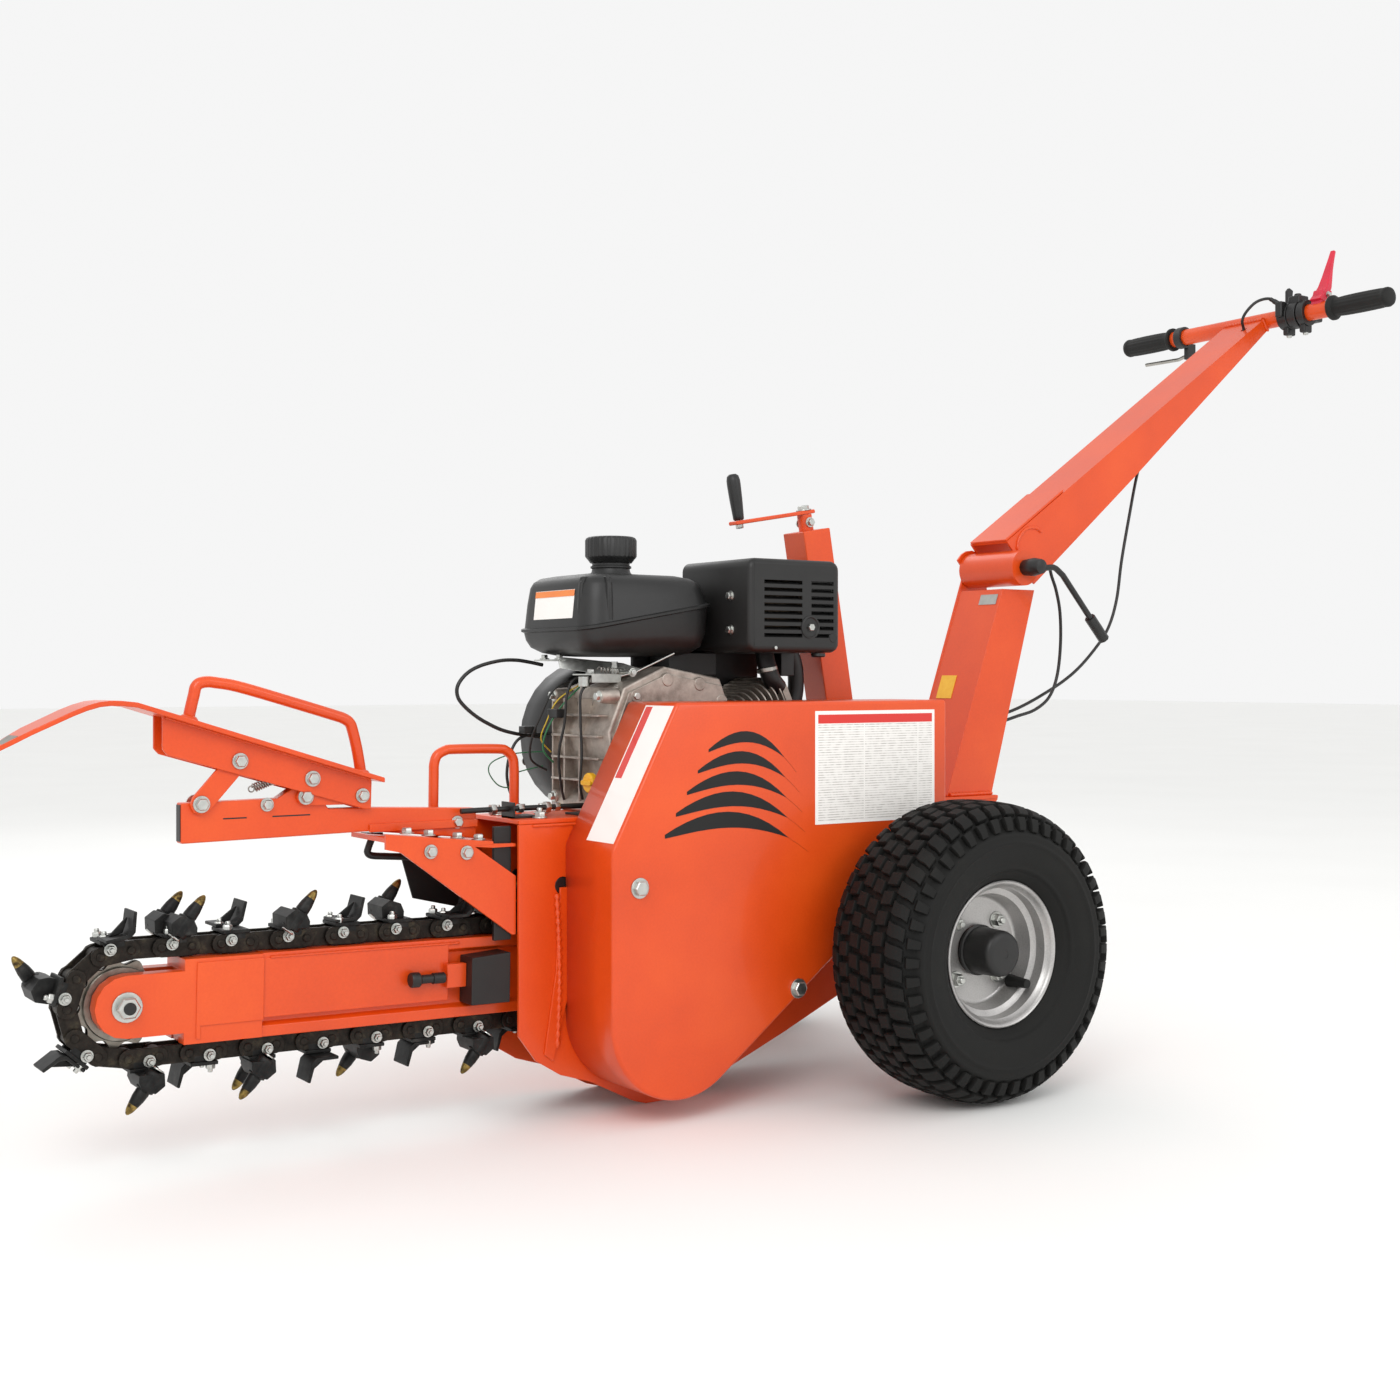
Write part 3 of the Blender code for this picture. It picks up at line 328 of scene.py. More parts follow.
# Each cable: name, its points, how many rings, where the frame's hold ends and the handle's begins
for name, points, count, hold in (
        ("throttle_cable", throttle_points, 130, (at(0.35, 0, 0.512), at(0.64, 0, 0.88))),
        ("clutch_cable", clutch_points, 80, (at(0.349, -0.02, 0.51), at(0.43, -0.02, 0.752))),
        ("engine_cable", loop_points, 90, None)):
    route = smooth_route(points, count)
    bm = bmesh.new()
    tube(bm, route, CABLE_R, 12)
    cable = shown(name + "_run", bm, sheath, None if hold else "frame")
    if hold:
        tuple(hold[0])
        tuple(hold[1])
        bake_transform(cable)
    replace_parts(cable, name)
    length = sum((b - a).length for a, b in zip(route, route[1:]))
    tuple(route[0])
    [tuple(p) for p in route]


# ---------------------------------------------------------------- chassis
# Two laser-cut 5 mm side plates with a folded deck welded across their tops. All of it is
# powder coated after welding, so the corners are rounded by the coat.

# Orange polyester powder coat: glossy, with slight orange peel that breaks up the reflections
orange, tree, shader, place = new_finish("orange_powder_coat", "orange", roughness=0.36, ior=1.5,
                                         coat_weight=0.15)
cloud = add(tree, "TexNoise", {"Scale": per_metre(160), "Detail": 3, "Roughness": 0.6}, {"Vector": place})
speck = add(tree, "TexNoise", {"Scale": per_metre(3), "Detail": 2}, {"Vector": place})
# Real orange peel is about 1.5 mm across; it is drawn at 5 mm so that it shows
peel = add(tree, "TexNoise", {"Scale": per_metre(5), "Detail": 2, "Roughness": 0.4}, {"Vector": place})
tone = add(tree, "Math", {"operation": "MULTIPLY_ADD", 1: 0.75}, {0: cloud.outputs["Fac"]})
fine = add(tree, "Math", {"operation": "MULTIPLY", 1: 0.25}, {0: speck.outputs["Fac"]})
tree.links.new(fine.outputs["Value"], tone.inputs[2])
tree.links.new(blended(tree, tone.outputs["Value"], "CE4108", "DC4909", "E5540F", spots=[0.25, 0.5, 0.75]),
               shader.inputs["Base Color"])
gloss = add(tree, "MapRange", {"To Min": 0.3, "To Max": 0.44}, {"Value": cloud.outputs["Fac"]})
tree.links.new(gloss.outputs["Result"], shader.inputs["Roughness"])
raised(tree, shader, peel.outputs["Fac"], 0.16, 0.0004)

# Zinc-plated steel fasteners: bright, bluish grey, with cloudy plating
zinc = weathered("zinc_plated_steel", "zinc", [(8, 4)], ("A9ABA8", "DADBD6"), gloss=(0.22, 0.45),
                 metallic=1.0, roughness=0.3)

# Black satin paint on steel: even and slightly dusty
black_steel = weathered("black_satin_paint", "black_steel", [(40, 4), (4, 1)], ("0B0B0B", "1E1D1C"),
                        relief=(0.15, 0.0003), roughness=0.45, ior=1.5)


def dressed(node, finish, bevel=0.0, smooth=38, segments=2):
    """A copy of a CAD part with clean faces, softened edges and its finish; it stands for the part."""
    source = frame["nodes"][node]
    bm = bmesh.new()
    bm.from_mesh(source.data)
    bmesh.ops.remove_doubles(bm, verts=bm.verts, dist=1e-5)
    bmesh.ops.dissolve_limit(bm, angle_limit=radians(0.6), verts=bm.verts, edges=bm.edges)
    made = shown(node + "_body", bm, finish, source["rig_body"], bevel, smooth, segments)
    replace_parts(made, node)
    return made


def prism(bm, outline, y0, y1):
    """An (x, z) outline measured from under the axle, between two Y planes."""
    return loft(bm, [[at(x, y, z) for x, z in outline] for y in (y0, y1)])


def brick(bm, low, high):
    return prism(bm, [(low[0], low[2]), (high[0], low[2]), (high[0], high[2]), (low[0], high[2])], low[1],
                 high[1])


def spun(bm, place, axis, levels, sides=24, looped=False):
    """Rings of (radius, height) about an axis, capped at both ends or looped round a hole."""
    turn = Vector(axis).to_track_quat("Z", "Y").to_matrix().to_4x4()
    move = Matrix.Translation(place) @ turn
    turns = [2 * pi * k / sides for k in range(sides)]
    rings = [[move @ Vector((r * cos(a), r * sin(a), h)) for a in turns] for r, h in levels]
    return loft(bm, rings, looped=looped)


def hex_head(bm, place, axis, across=0.013, high=0.007, washer=True, shank=0.0):
    """A hexagon head on a washer, its face domed as forged heads are."""
    r = across / 2 / cos(pi / 6)
    base = 0.0
    if washer:
        spun(bm, place, axis, [(r * 1.3, 0.0), (r * 1.34, 0.0006), (r * 1.3, 0.0018), (r * 0.5, 0.0018)], 20)
        base = 0.0017
    spun(bm, place, axis, [(r, base), (r, base + high * 0.8), (r * 0.86, base + high)], 6)
    if shank:
        spun(bm, place, axis, [(r * 0.52, base + high * 0.9), (r * 0.52, base + high + shank),
                               (r * 0.42, base + high + shank + 0.001)], 14)


def weld(bm, path, count, thick, ripple, beat, sides=8):
    """A weld bead along path(share), which swells and shrinks with its ripples."""
    tube(bm, [path(i / (count - 1)) for i in range(count)],
         [thick + ripple * sin(i * beat) for i in range(count)], sides)


NEAR, FAR, UP, DOWN, AHEAD, BACK = (0, -1, 0), (0, 1, 0), (0, 0, 1), (0, 0, -1), (-1, 0, 0), (1, 0, 0)
PLATE_OUT = 0.063
DECK_TOP = 0.39
CHASSIS_FRONT = -0.579

dressed("side_plate_near", orange, 0.0009)
dressed("side_plate_far", orange, 0.0009)
dressed("engine_deck", orange, 0.0016)

# A gusset and a weld bead run down the near plate, in front of the belt guard
bm = bmesh.new()
gusset = [(-0.52, 0.3), (-0.508, 0.3), (-0.499, 0.19), (-0.53, 0.075), (-0.543, 0.085), (-0.526, 0.19)]
prism(bm, gusset, -0.0665, -PLATE_OUT)
shown("plate_gusset", bm, orange, "frame", 0.001)
bm = bmesh.new()
weld(bm, lambda t: at(-0.5245 + 0.004 * sin(t * 3), -0.0655, 0.292 - 0.2 * t), 60, 0.0034, 0.0014, 1.9)
for y in (-0.0636525, 0.0636525):
    weld(bm, lambda t: at(CHASSIS_FRONT + 0.02 + 0.8 * t, y, DECK_TOP - 0.0085), 120, 0.002, 0.0005, 2.1, 6)
shown("weld_beads", bm, orange, "frame", smooth=60)

# Black discs close the two lightening holes: painted shade, standing for the dark of the open holes
bm = bmesh.new()
for y in (-0.0605, 0.0605):
    spun(bm, at(-0.514, y, 0.302), FAR, [(0.0105, -0.002), (0.0114, -0.0012), (0.0114, 0.0012),
                                         (0.0105, 0.002)], 24)
shown("plate_hole_shade_discs", bm, black_steel, "frame")

# The drive cable's clevis and its jam nuts lie across the front of the deck
bm = bmesh.new()
tube(bm, [at(-0.64, -0.02, 0.4015), at(-0.6, -0.022, 0.402), at(-0.43, -0.03, 0.402)], 0.0036, 10)
shown("deck_rod", bm, black_steel, "frame")
bm = bmesh.new()
for x, across in ((-0.6, 0.013), (-0.56, 0.011), (-0.52, 0.014), (-0.505, 0.011), (-0.455, 0.013)):
    hex_head(bm, at(x, -0.0245, 0.402), BACK, across, 0.008, washer=False)
for x, y in ((-0.562, 0.028), (-0.54, -0.048), (-0.5, 0.02), (-0.468, -0.052)):
    hex_head(bm, at(x, y, DECK_TOP), UP, 0.013, 0.007, shank=0.004)
shown("deck_fasteners", bm, zinc, "frame", 0.0003)
bm = bmesh.new()
brick(bm, (-0.574, -0.04, DECK_TOP), (-0.536, -0.006, DECK_TOP + 0.003))
brick(bm, (-0.574, -0.04, DECK_TOP), (-0.5715, -0.006, DECK_TOP + 0.021))
brick(bm, (-0.48, -0.046, DECK_TOP), (-0.448, -0.01, DECK_TOP + 0.003))
shown("clevis_brackets", bm, black_steel, "frame", 0.0006)

# ---------------------------------------------------------------- belt guard
# A folded and welded steel cover over the belt, open at the back, with rolled edges of about
# 5 mm. It bolts to the chassis at two corners and carries two vinyl labels and a decal.

GUARD_FRONT, GUARD_REAR = -0.18, -0.0635
LOBE, LOBE_R = (-0.405, 0.135), 0.105
GUARD_SLOPE = 0.745


def arc(centre, radius, start, end, steps):
    """Points on an arc, angles in degrees, anticlockwise from +X towards +Z."""
    turns = [radians(start + (end - start) * i / steps) for i in range(steps + 1)]
    return [(centre[0] + radius * cos(a), centre[1] + radius * sin(a)) for a in turns]


low = arc(LOBE, LOBE_R, 180, 270 + atan2(GUARD_SLOPE, 1) * 180 / pi, 40)
guard_right, guard_top = 0.052, 0.541
rise_z = low[-1][1] + (guard_right - low[-1][0]) * GUARD_SLOPE
slant_top, slant_low = (-0.412, guard_top), (LOBE[0] - LOBE_R, 0.356)
outline = low + [(guard_right, rise_z), (guard_right, guard_top), slant_top, slant_low]

bm = bmesh.new()
rear = [bm.verts.new(at(x, GUARD_REAR, z)) for x, z in outline]
front = [bm.verts.new(at(x, GUARD_FRONT, z)) for x, z in outline]
bm.faces.new(front)
for k in range(len(outline)):
    j = (k + 1) % len(outline)
    bm.faces.new((rear[k], rear[j], front[j], front[k]))
bmesh.ops.recalc_face_normals(bm, faces=bm.faces)
rim_edges = [e for e in bm.edges if len(e.link_faces) == 2 and e.calc_face_angle(0) > radians(20)]
bmesh.ops.bevel(bm, geom=rim_edges, offset=0.005, segments=4, profile=0.5, affect="EDGES", clamp_overlap=True)
guard = shown("belt_guard_shell", bm, orange, "frame", smooth=50)
wall = guard.modifiers.new("wall", "SOLIDIFY")
wall.thickness = 0.003
wall.offset = -1
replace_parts(guard, "belt_guard")


def vinyl(name, top, bottom, axis_low, axis_high, share, lines_mm=0.0):
    """A satin white film, faintly clouded, with a plain printed band across its top."""
    made, tree, shader, place = new_finish(name, roughness=0.32, ior=1.46, coat_weight=0.3)
    height = add(tree, "SeparateXYZ", links={"Vector": place}).outputs["Z"]
    level = add(tree, "MapRange", {"From Min": axis_low, "From Max": axis_high}, {"Value": height})
    band = add(tree, "Math", {"operation": "GREATER_THAN", 1: 1 - share}, {0: level.outputs["Result"]})
    cloud = add(tree, "TexNoise", {"Scale": per_metre(60), "Detail": 2}, {"Vector": place})
    white = blended(tree, cloud.outputs["Fac"], bottom, "FBF8F4")
    if lines_mm:
        # Two columns of blank grey rules stand for the small print
        axes = add(tree, "SeparateXYZ", links={"Vector": place})
        flat = add(tree, "CombineXYZ", links={"X": axes.outputs["X"], "Y": axes.outputs["Z"]})
        rules = add(tree, "TexBrick",
                    {"offset": 0.0, "Scale": 1.0, "Mortar Size": lines_mm * 0.0003, "Mortar Smooth": 0.0,
                     "Brick Width": 0.0985, "Row Height": lines_mm / 1000, "Color1": linear("A9A6A3"),
                     "Color2": linear("BDBAB7"), "Mortar": linear("FFFFFF")},
                    {"Vector": flat.outputs["Vector"]})
        broken = add(tree, "TexNoise", {"Scale": per_metre(9), "Detail": 2}, {"Vector": place})
        faint = add(tree, "MapRange", {"From Min": 0.38, "From Max": 0.6, "To Min": 0.25, "To Max": 0.75},
                    {"Value": broken.outputs["Fac"]})
        pale = add(tree, "Mix", {"data_type": "RGBA", "blend_type": "MULTIPLY"},
                   {0: faint.outputs["Result"], 6: white, 7: rules.outputs["Color"]})
        white = pale.outputs[2]
    print_mix = add(tree, "Mix", {"data_type": "RGBA", 7: linear(top)}, {0: band.outputs["Value"], 6: white})
    tree.links.new(print_mix.outputs[2], shader.inputs["Base Color"])
    return made


FILM = 0.0004
sheet_low, sheet_high = 0.3735, 0.5275
panel = vinyl("printed_vinyl_panel", "DB2F26", "F0EDE8", sheet_low + 0.006, sheet_high - 0.005, 0.085, 3.4)
backing = vinyl("white_vinyl", "FBF8F4", "F3F0EB", 0, 1, 0.0)
bm = bmesh.new()
brick(bm, (-0.188, GUARD_FRONT - FILM, sheet_low), (0.028, GUARD_FRONT, sheet_high))
shown("panel_label_border", bm, backing, "frame")
bm = bmesh.new()
brick(bm, (-0.183, GUARD_FRONT - 1.6 * FILM, sheet_low + 0.005),
      (0.023, GUARD_FRONT - FILM, sheet_high - 0.005))
shown("panel_label", bm, panel, "frame")


def on_slant(along, y, out=0.0):
    """A point on the guard's leaning front wall: a share of its length, Y, and metres off it."""
    run, climb = slant_top[0] - slant_low[0], slant_top[1] - slant_low[1]
    long = hypot(run, climb)
    return at(slant_low[0] + run * along - climb / long * out, y,
              slant_low[1] + climb * along + run / long * out)


def film(name, corners, finish, out):
    """A thin film between four points of (share, Y) on the leaning wall."""
    bm = bmesh.new()
    loft(bm, [[on_slant(t, y, h) for t, y in corners] for h in (out, out + FILM)])
    return shown(name, bm, finish, "frame")


red_print = weathered("red_printed_vinyl", None, [(400 / pi, 2)], ("D42A22", "E23A30"), roughness=0.32,
                      ior=1.46, coat_weight=0.3)
film("slant_label", [(0.045, -0.1745), (0.045, -0.109), (0.975, -0.109), (0.975, -0.1745)], backing, 0.0)
film("slant_label_band", [(0.47, -0.127), (0.47, -0.112), (0.965, -0.112), (0.965, -0.127)], red_print, FILM)

# The decal is a plain pattern of five swept strokes, cut from matt black film
black_film = weathered("matt_black_film", None, [(25, 3)], ("080808", "121211"), roughness=0.5, ior=1.46)
bm = bmesh.new()
STROKE_STEPS = 14
for k in range(5):
    start, reach, wide = 0.03 + 0.033 * k, 0.232 - 0.022 * k, 0.021 - 0.0016 * k
    upper, lower = [], []
    for i in range(STROKE_STEPS + 1):
        t = i / STROKE_STEPS
        x = -0.432 + 0.017 * k + reach * t
        z = 0.34 + start + 0.03 * sin(t * pi * 0.8) - 0.05 * t * t - 0.006 * k
        half = wide * (sin(pi * min(t * 1.15 + 0.04, 1.0)) ** 0.7) / 2
        upper.append((x, z + half))
        lower.append((x, z - half))
    for j in range(STROKE_STEPS):
        quad = [upper[j], upper[j + 1], lower[j + 1], lower[j]]
        prism(bm, quad, GUARD_FRONT - FILM, GUARD_FRONT)
bmesh.ops.remove_doubles(bm, verts=bm.verts, dist=1e-6)
shown("sweep_decal", bm, black_film, "frame")

bm = bmesh.new()
for x, z in ((-0.47, 0.307), (-0.217, 0.155)):
    hex_head(bm, at(x, GUARD_FRONT, z), NEAR, 0.0175, 0.0065)
bolts = shown("guard_bolt_heads", bm, zinc, "frame", 0.0004)
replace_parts(bolts, "guard_bolt")

# ---------------------------------------------------------------- belt drive
# A ribbed rubber V-belt runs from the engine's pulley to the large one on the boom's head
# shaft. Pulleys and shafts are turned steel; the belt is cloth-backed rubber.

# Turned steel: fine rings, light oil film
steel, tree, shader, place = new_finish("turned_steel", "bare_steel", metallic=1.0, roughness=0.35)
cloud = add(tree, "TexNoise", {"Scale": per_metre(12), "Detail": 5}, {"Vector": place})
tree.links.new(blended(tree, cloud.outputs["Fac"], "5C554B", "8C877E", "A7A299"), shader.inputs["Base Color"])
rings = add(tree, "TexWave", {"wave_type": "RINGS", "rings_direction": "Y", "Scale": wave_scale(40),
                              "Distortion": 0.6}, {"Vector": place})
raised(tree, shader, rings.outputs["Fac"], 0.1, 0.0002)

# Rubber for the belt and the grips: matt with a fine moulded grain
rubber = weathered("moulded_grip_rubber", "rubber", [(35, 3), (3, 3)], ("0C0C0B", "1D1D1B"),
                   relief=(0.3, 0.0004), roughness=0.62, specular_ior_level=0.35)

for node in ("engine_pulley", "driven_pulley", "head_shaft", "engine_shaft", "drive_sprocket"):
    dressed(node, steel, 0.0004)
dressed("drive_belt", rubber, 0.0008)

# ---------------------------------------------------------------- handle column
# A folded 4 mm channel, open to the rear, that leans back from the deck. Its far cheek rises
# to a round ear round the pivot. It carries a rating plate and a small yellow label.

dressed("handle_column", orange, 0.0022, segments=3)

# Thin anodised aluminium and yellow vinyl: satin, faintly clouded
aluminium = weathered("anodised_label_plate", None, [(10, 2)], ("9C9C98", "BFBFBA"), metallic=0.9,
                      roughness=0.4)
yellow_film = weathered("yellow_vinyl", None, [(10, 2)], ("E8A81C", "F4C63C"), roughness=0.35, ior=1.46)

COLUMN_FOOT, COLUMN_TOP = (0.172, 0.3903), (0.2895, 0.712)
column_slope = (COLUMN_TOP[0] - COLUMN_FOOT[0]) / (COLUMN_TOP[1] - COLUMN_FOOT[1])


def on_web(y, z, out):
    """A point on the column's front face, and metres off it towards the boom."""
    return at(COLUMN_FOOT[0] + (z - COLUMN_FOOT[1]) * column_slope - out, y, z)


for name, y0, y1, z0, z1, finish in (("rating_plate", -0.044, -0.006, 0.688, 0.704, aluminium),
                                     ("column_label", 0.0, 0.034, 0.54, 0.576, yellow_film)):
    bm = bmesh.new()
    loft(bm, [[on_web(y0, z0, h), on_web(y1, z0, h), on_web(y1, z1, h), on_web(y0, z1, h)]
              for h in (0.0, 0.0009)])
    shown(name, bm, finish, "frame")
bm = bmesh.new()
weld(bm, lambda t: at(0.176 + 0.088 * t, -0.0525, DECK_TOP + 0.0025), 41, 0.003, 0.0006, 2.0)
weld(bm, lambda t: at(0.169, -0.048 + 0.096 * t, DECK_TOP + 0.0025), 41, 0.003, 0.0006, 2.0)
shown("column_weld", bm, orange, "frame", smooth=60)

# ---------------------------------------------------------------- handle arm
# A tapered box folded from sheet, open underneath, that turns on a cross tube in the column's
# ears. A round bar is welded across its end, with a moulded grip on each side.

dressed("handle_arm", orange, 0.0024, segments=3)
bm = bmesh.new()
spun(bm, at(BAR[0], 0.283, BAR[1]), NEAR, [(0.0145, 0), (0.0145, 0.566)], 32)
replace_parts(shown("crossbar_tube", bm, orange, "handle"), "crossbar")
bm = bmesh.new()
for side in (-1, 1):
    ring = [on_arm(ARM_LONG - 0.015, 0.012 - 0.024 * i / 30, side * (0.0425 + 0.0005 * sin(i * 2)))
            for i in range(31)]
    tube(bm, ring, 0.0028, 8)
weld(bm, lambda t: on_arm(ARM_LONG - 0.0135, 0.0105, -0.041 + 0.082 * t), 41, 0.0034, 0.0006, 2.2)
for side in (-1, 1):
    weld(bm, lambda t: on_arm(0.06 + 0.034 * cos(radians(20 + 130 * t)),
                              -0.002 + 0.034 * sin(radians(20 + 130 * t)),
                              side * 0.0425), 25, 0.0024, 0.0006, 2.3)
shown("arm_welds", bm, orange, "handle", smooth=60)
bm = bmesh.new()
loft(bm, [[on_arm(0.02, 0.0385, y), on_arm(0.02, 0.0425, y), on_arm(0.175, 0.0365, y),
           on_arm(0.175, 0.0327, y)]
          for y in (-0.0405, 0.0405)])
shown("arm_root_patch", bm, orange, "handle", 0.0012)

# Grips: soft rubber with a collar, a domed end and flutes along the palm
for name, side in (("near", -1), ("far", 1)):
    bm = bmesh.new()
    axis = (0, side, 0)
    start = at(BAR[0], side * 0.172, BAR[1])
    turn = Vector(axis).to_track_quat("Z", "Y").to_matrix().to_4x4()
    move = Matrix.Translation(start) @ turn
    rings = []
    levels = [(0.0148, 0.0), (0.0205, 0.0), (0.0215, 0.0015), (0.0215, 0.0055), (0.02, 0.0075),
              (0.0164, 0.0095), (0.016, 0.013), (0.0166, 0.022)]
    levels += [(0.0168, 0.022 + 0.078 * i / 14) for i in range(1, 14)]
    levels += [(0.0166, 0.1), (0.0162, 0.104), (0.0168, 0.106), (0.0168, 0.11), (0.015, 0.1138),
               (0.0105, 0.115), (0.004, 0.1152)]
    for r, h in levels:
        flute = 0.0009 if 0.018 < h < 0.101 else 0.0
        swell = 0.0006 * sin((h - 0.02) / 0.08 * pi) if 0.018 < h < 0.101 else 0.0
        ring = []
        for k in range(64):
            a = 2 * pi * k / 64
            rr = r + swell - flute * (0.5 + 0.5 * cos(a * 16))
            ring.append(move @ Vector((rr * cos(a), rr * sin(a), h)))
        rings.append(ring)
    loft(bm, rings)
    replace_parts(shown(f"grip_{name}_sleeve", bm, rubber, "handle", smooth=50), f"grip_{name}")

# ---------------------------------------------------------------- handlebar controls
# A split nylon clamp with a switch block and cable adjusters, a red moulded clutch lever, a
# thumb throttle, and a bare steel lever under the far grip.

# Glass-filled nylon and ABS mouldings: black, satin, with a fine spark-eroded grain
# Mould grain is under a millimetre; it is drawn at 2.5 mm so that it shows
moulded = weathered("moulded_black_nylon", "black_plastic", [(60, 4, 0.6), (2.5, 2)],
                    ("0C0C0C", "171717", "212120"), [0.3, 0.55, 0.8], gloss=(0.36, 0.54),
                    relief=(0.22, 0.0003), roughness=0.44, ior=1.53)

# Red acetal: a translucent red that is deeper where it is thick
red = weathered("red_acetal", "red_plastic", [(25, 3)], ("B81830", "E22A48"), roughness=0.35, ior=1.48,
                subsurface_weight=0.15)

bm = bmesh.new()
for y0, y1, r in ((-0.0735, -0.0925, 0.0236), (-0.0945, -0.1115, 0.0242), (-0.113, -0.127, 0.0228)):
    spun(bm, at(BAR[0], y0, BAR[1]), NEAR, [(0.0152, 0), (r - 0.001, 0), (r, 0.001),
                                            (r, abs(y1 - y0) - 0.001),
                                            (r - 0.001, abs(y1 - y0)), (0.0152, abs(y1 - y0))], 28,
         looped=True)
clamp = shown("perch_clamp", bm, moulded, "handle", smooth=35)
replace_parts(clamp, "control_perch")
bm = bmesh.new()
brick(bm, (BAR[0] + 0.014, -0.1245, BAR[1] - 0.012), (BAR[0] + 0.0415, -0.0765, BAR[1] + 0.02))
brick(bm, (BAR[0] - 0.03, -0.09, BAR[1] - 0.004), (BAR[0] - 0.012, -0.076, BAR[1] + 0.024))
brick(bm, (BAR[0] - 0.01, -0.124, BAR[1] - 0.034), (BAR[0] + 0.012, -0.112, BAR[1] - 0.018))
brick(bm, (BAR[0] - 0.01, -0.09, BAR[1] - 0.034), (BAR[0] + 0.012, -0.078, BAR[1] - 0.018))
brick(bm, (BAR[0] - 0.012, -0.114, BAR[1] + 0.018), (BAR[0] + 0.016, -0.09, BAR[1] + 0.033))
shown("switch_block", bm, moulded, "handle", 0.003, segments=3)
bm = bmesh.new()
spun(bm, at(BAR[0] - 0.014, -0.0735, BAR[1] + 0.0225), (-0.55, 0.62, 0.55),
     [(0.0045, -0.004), (0.0045, 0.01), (0.0036, 0.012), (0.0036, 0.018)], 14)
spun(bm, at(BAR[0] + 0.002, -0.101, BAR[1] + 0.0325), UP, [(0.0062, 0), (0.0062, 0.004), (0.005, 0.0052)], 20)
shown("switch_button", bm, moulded, "handle", smooth=35)
bm = bmesh.new()
for y in (-0.118, -0.084):
    hex_head(bm, at(BAR[0] + 0.001, y, BAR[1] - 0.0335), DOWN, 0.008, 0.004, washer=False)
shown("perch_screws", bm, zinc, "handle")
dressed("throttle_lever", moulded, 0.0012)

# The red lever is a forked boss on the bar with a long blade that thins as it curves up
bm = bmesh.new()
LEVER_PIN = (BAR[0] + 0.01, -0.146, BAR[1] + 0.024)
profile = [(-0.016, -0.008, 0.011), (-0.004, 0.004, 0.0115), (0.006, 0.018, 0.0105), (0.0125, 0.036, 0.008),
           (0.0175, 0.052, 0.0062), (0.0235, 0.068, 0.005), (0.03, 0.0855, 0.0042)]
rings = []
for i, (x, z, half) in enumerate(profile):
    thick = 0.0075 - 0.0008 * i
    rings.append([at(LEVER_PIN[0] + x + dx * thick, LEVER_PIN[1] + dy * half,
                     LEVER_PIN[2] + z - dx * thick * 0.35)
                  for dx, dy in ((-1, -1), (1, -1), (1, 1), (-1, 1))])
loft(bm, rings)
blade_piece = shown("clutch_lever_blade", bm, red, "clutch", 0.0016, segments=3, smooth=30)
bm = bmesh.new()
prism(bm, [(LEVER_PIN[0] - 0.012, LEVER_PIN[2] + 0.012), (LEVER_PIN[0] - 0.018, LEVER_PIN[2] - 0.006),
           (LEVER_PIN[0] - 0.0235, LEVER_PIN[2] - 0.026), (LEVER_PIN[0] - 0.007, LEVER_PIN[2] - 0.0015),
           (LEVER_PIN[0] + 0.014, LEVER_PIN[2] - 0.002), (LEVER_PIN[0] + 0.012, LEVER_PIN[2] + 0.012)],
      LEVER_PIN[1] - 0.0105, LEVER_PIN[1] + 0.0105)
shown("clutch_lever_boss", bm, red, "clutch", 0.0018, segments=3, smooth=30)
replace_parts(blade_piece, "clutch_lever")
bm = bmesh.new()
hex_head(bm, at(LEVER_PIN[0], LEVER_PIN[1] - 0.0105, LEVER_PIN[2] + 0.003), NEAR, 0.008, 0.004)
shown("clutch_lever_pin", bm, zinc, "clutch")

# Brushed spring steel: a bent 7 mm bar with a polished surface
bright = weathered("brushed_spring_steel", "bare_steel", [(15, 4)], ("8E8B86", "C2BFB8"), metallic=1.0,
                   roughness=0.32)
dressed("brake_lever", bright)
# A moulded perch under the bar holds the brake lever's pin
bm = bmesh.new()
spun(bm, at(BAR[0], 0.144, BAR[1]), FAR, [(0.0152, 0), (0.02, 0.0008), (0.02, 0.0162), (0.0152, 0.017)], 28,
     looped=True)
brick(bm, (BAR[0] + 0.006, 0.145, BAR[1] - 0.04), (BAR[0] + 0.028, 0.155, BAR[1] - 0.01))
shown("brake_perch", bm, moulded, "handle", 0.0012)

# ---------------------------------------------------------------- clamp lever
# A black moulded knob on a steel rod that screws through the arm's cross tube, with a bent
# handle and a rubber sleeve. It locks the handle's angle.

dressed("clamp_lever", moulded, 0.0006, smooth=50)

# ---------------------------------------------------------------- wheels
# Turf tyres of 16 x 6.5-8 on pressed steel rims: a moulded carcass with a ribbed sidewall and
# rows of S-shaped lugs. The rim is a deep silver dish with four bolts and a black hub.

# Tyre rubber: matt black with bloom on the lugs' faces and dust between them
tyre_rubber = weathered("vulcanised_tyre_rubber", "tyre", [(90, 5, 0.65), (4, 3)],
                        ("0A0A09", "11110F", "1D1C19"), [0.3, 0.55, 0.8], gloss=(0.58, 0.82),
                        relief=(0.35, 0.0005), roughness=0.72, specular_ior_level=0.3)

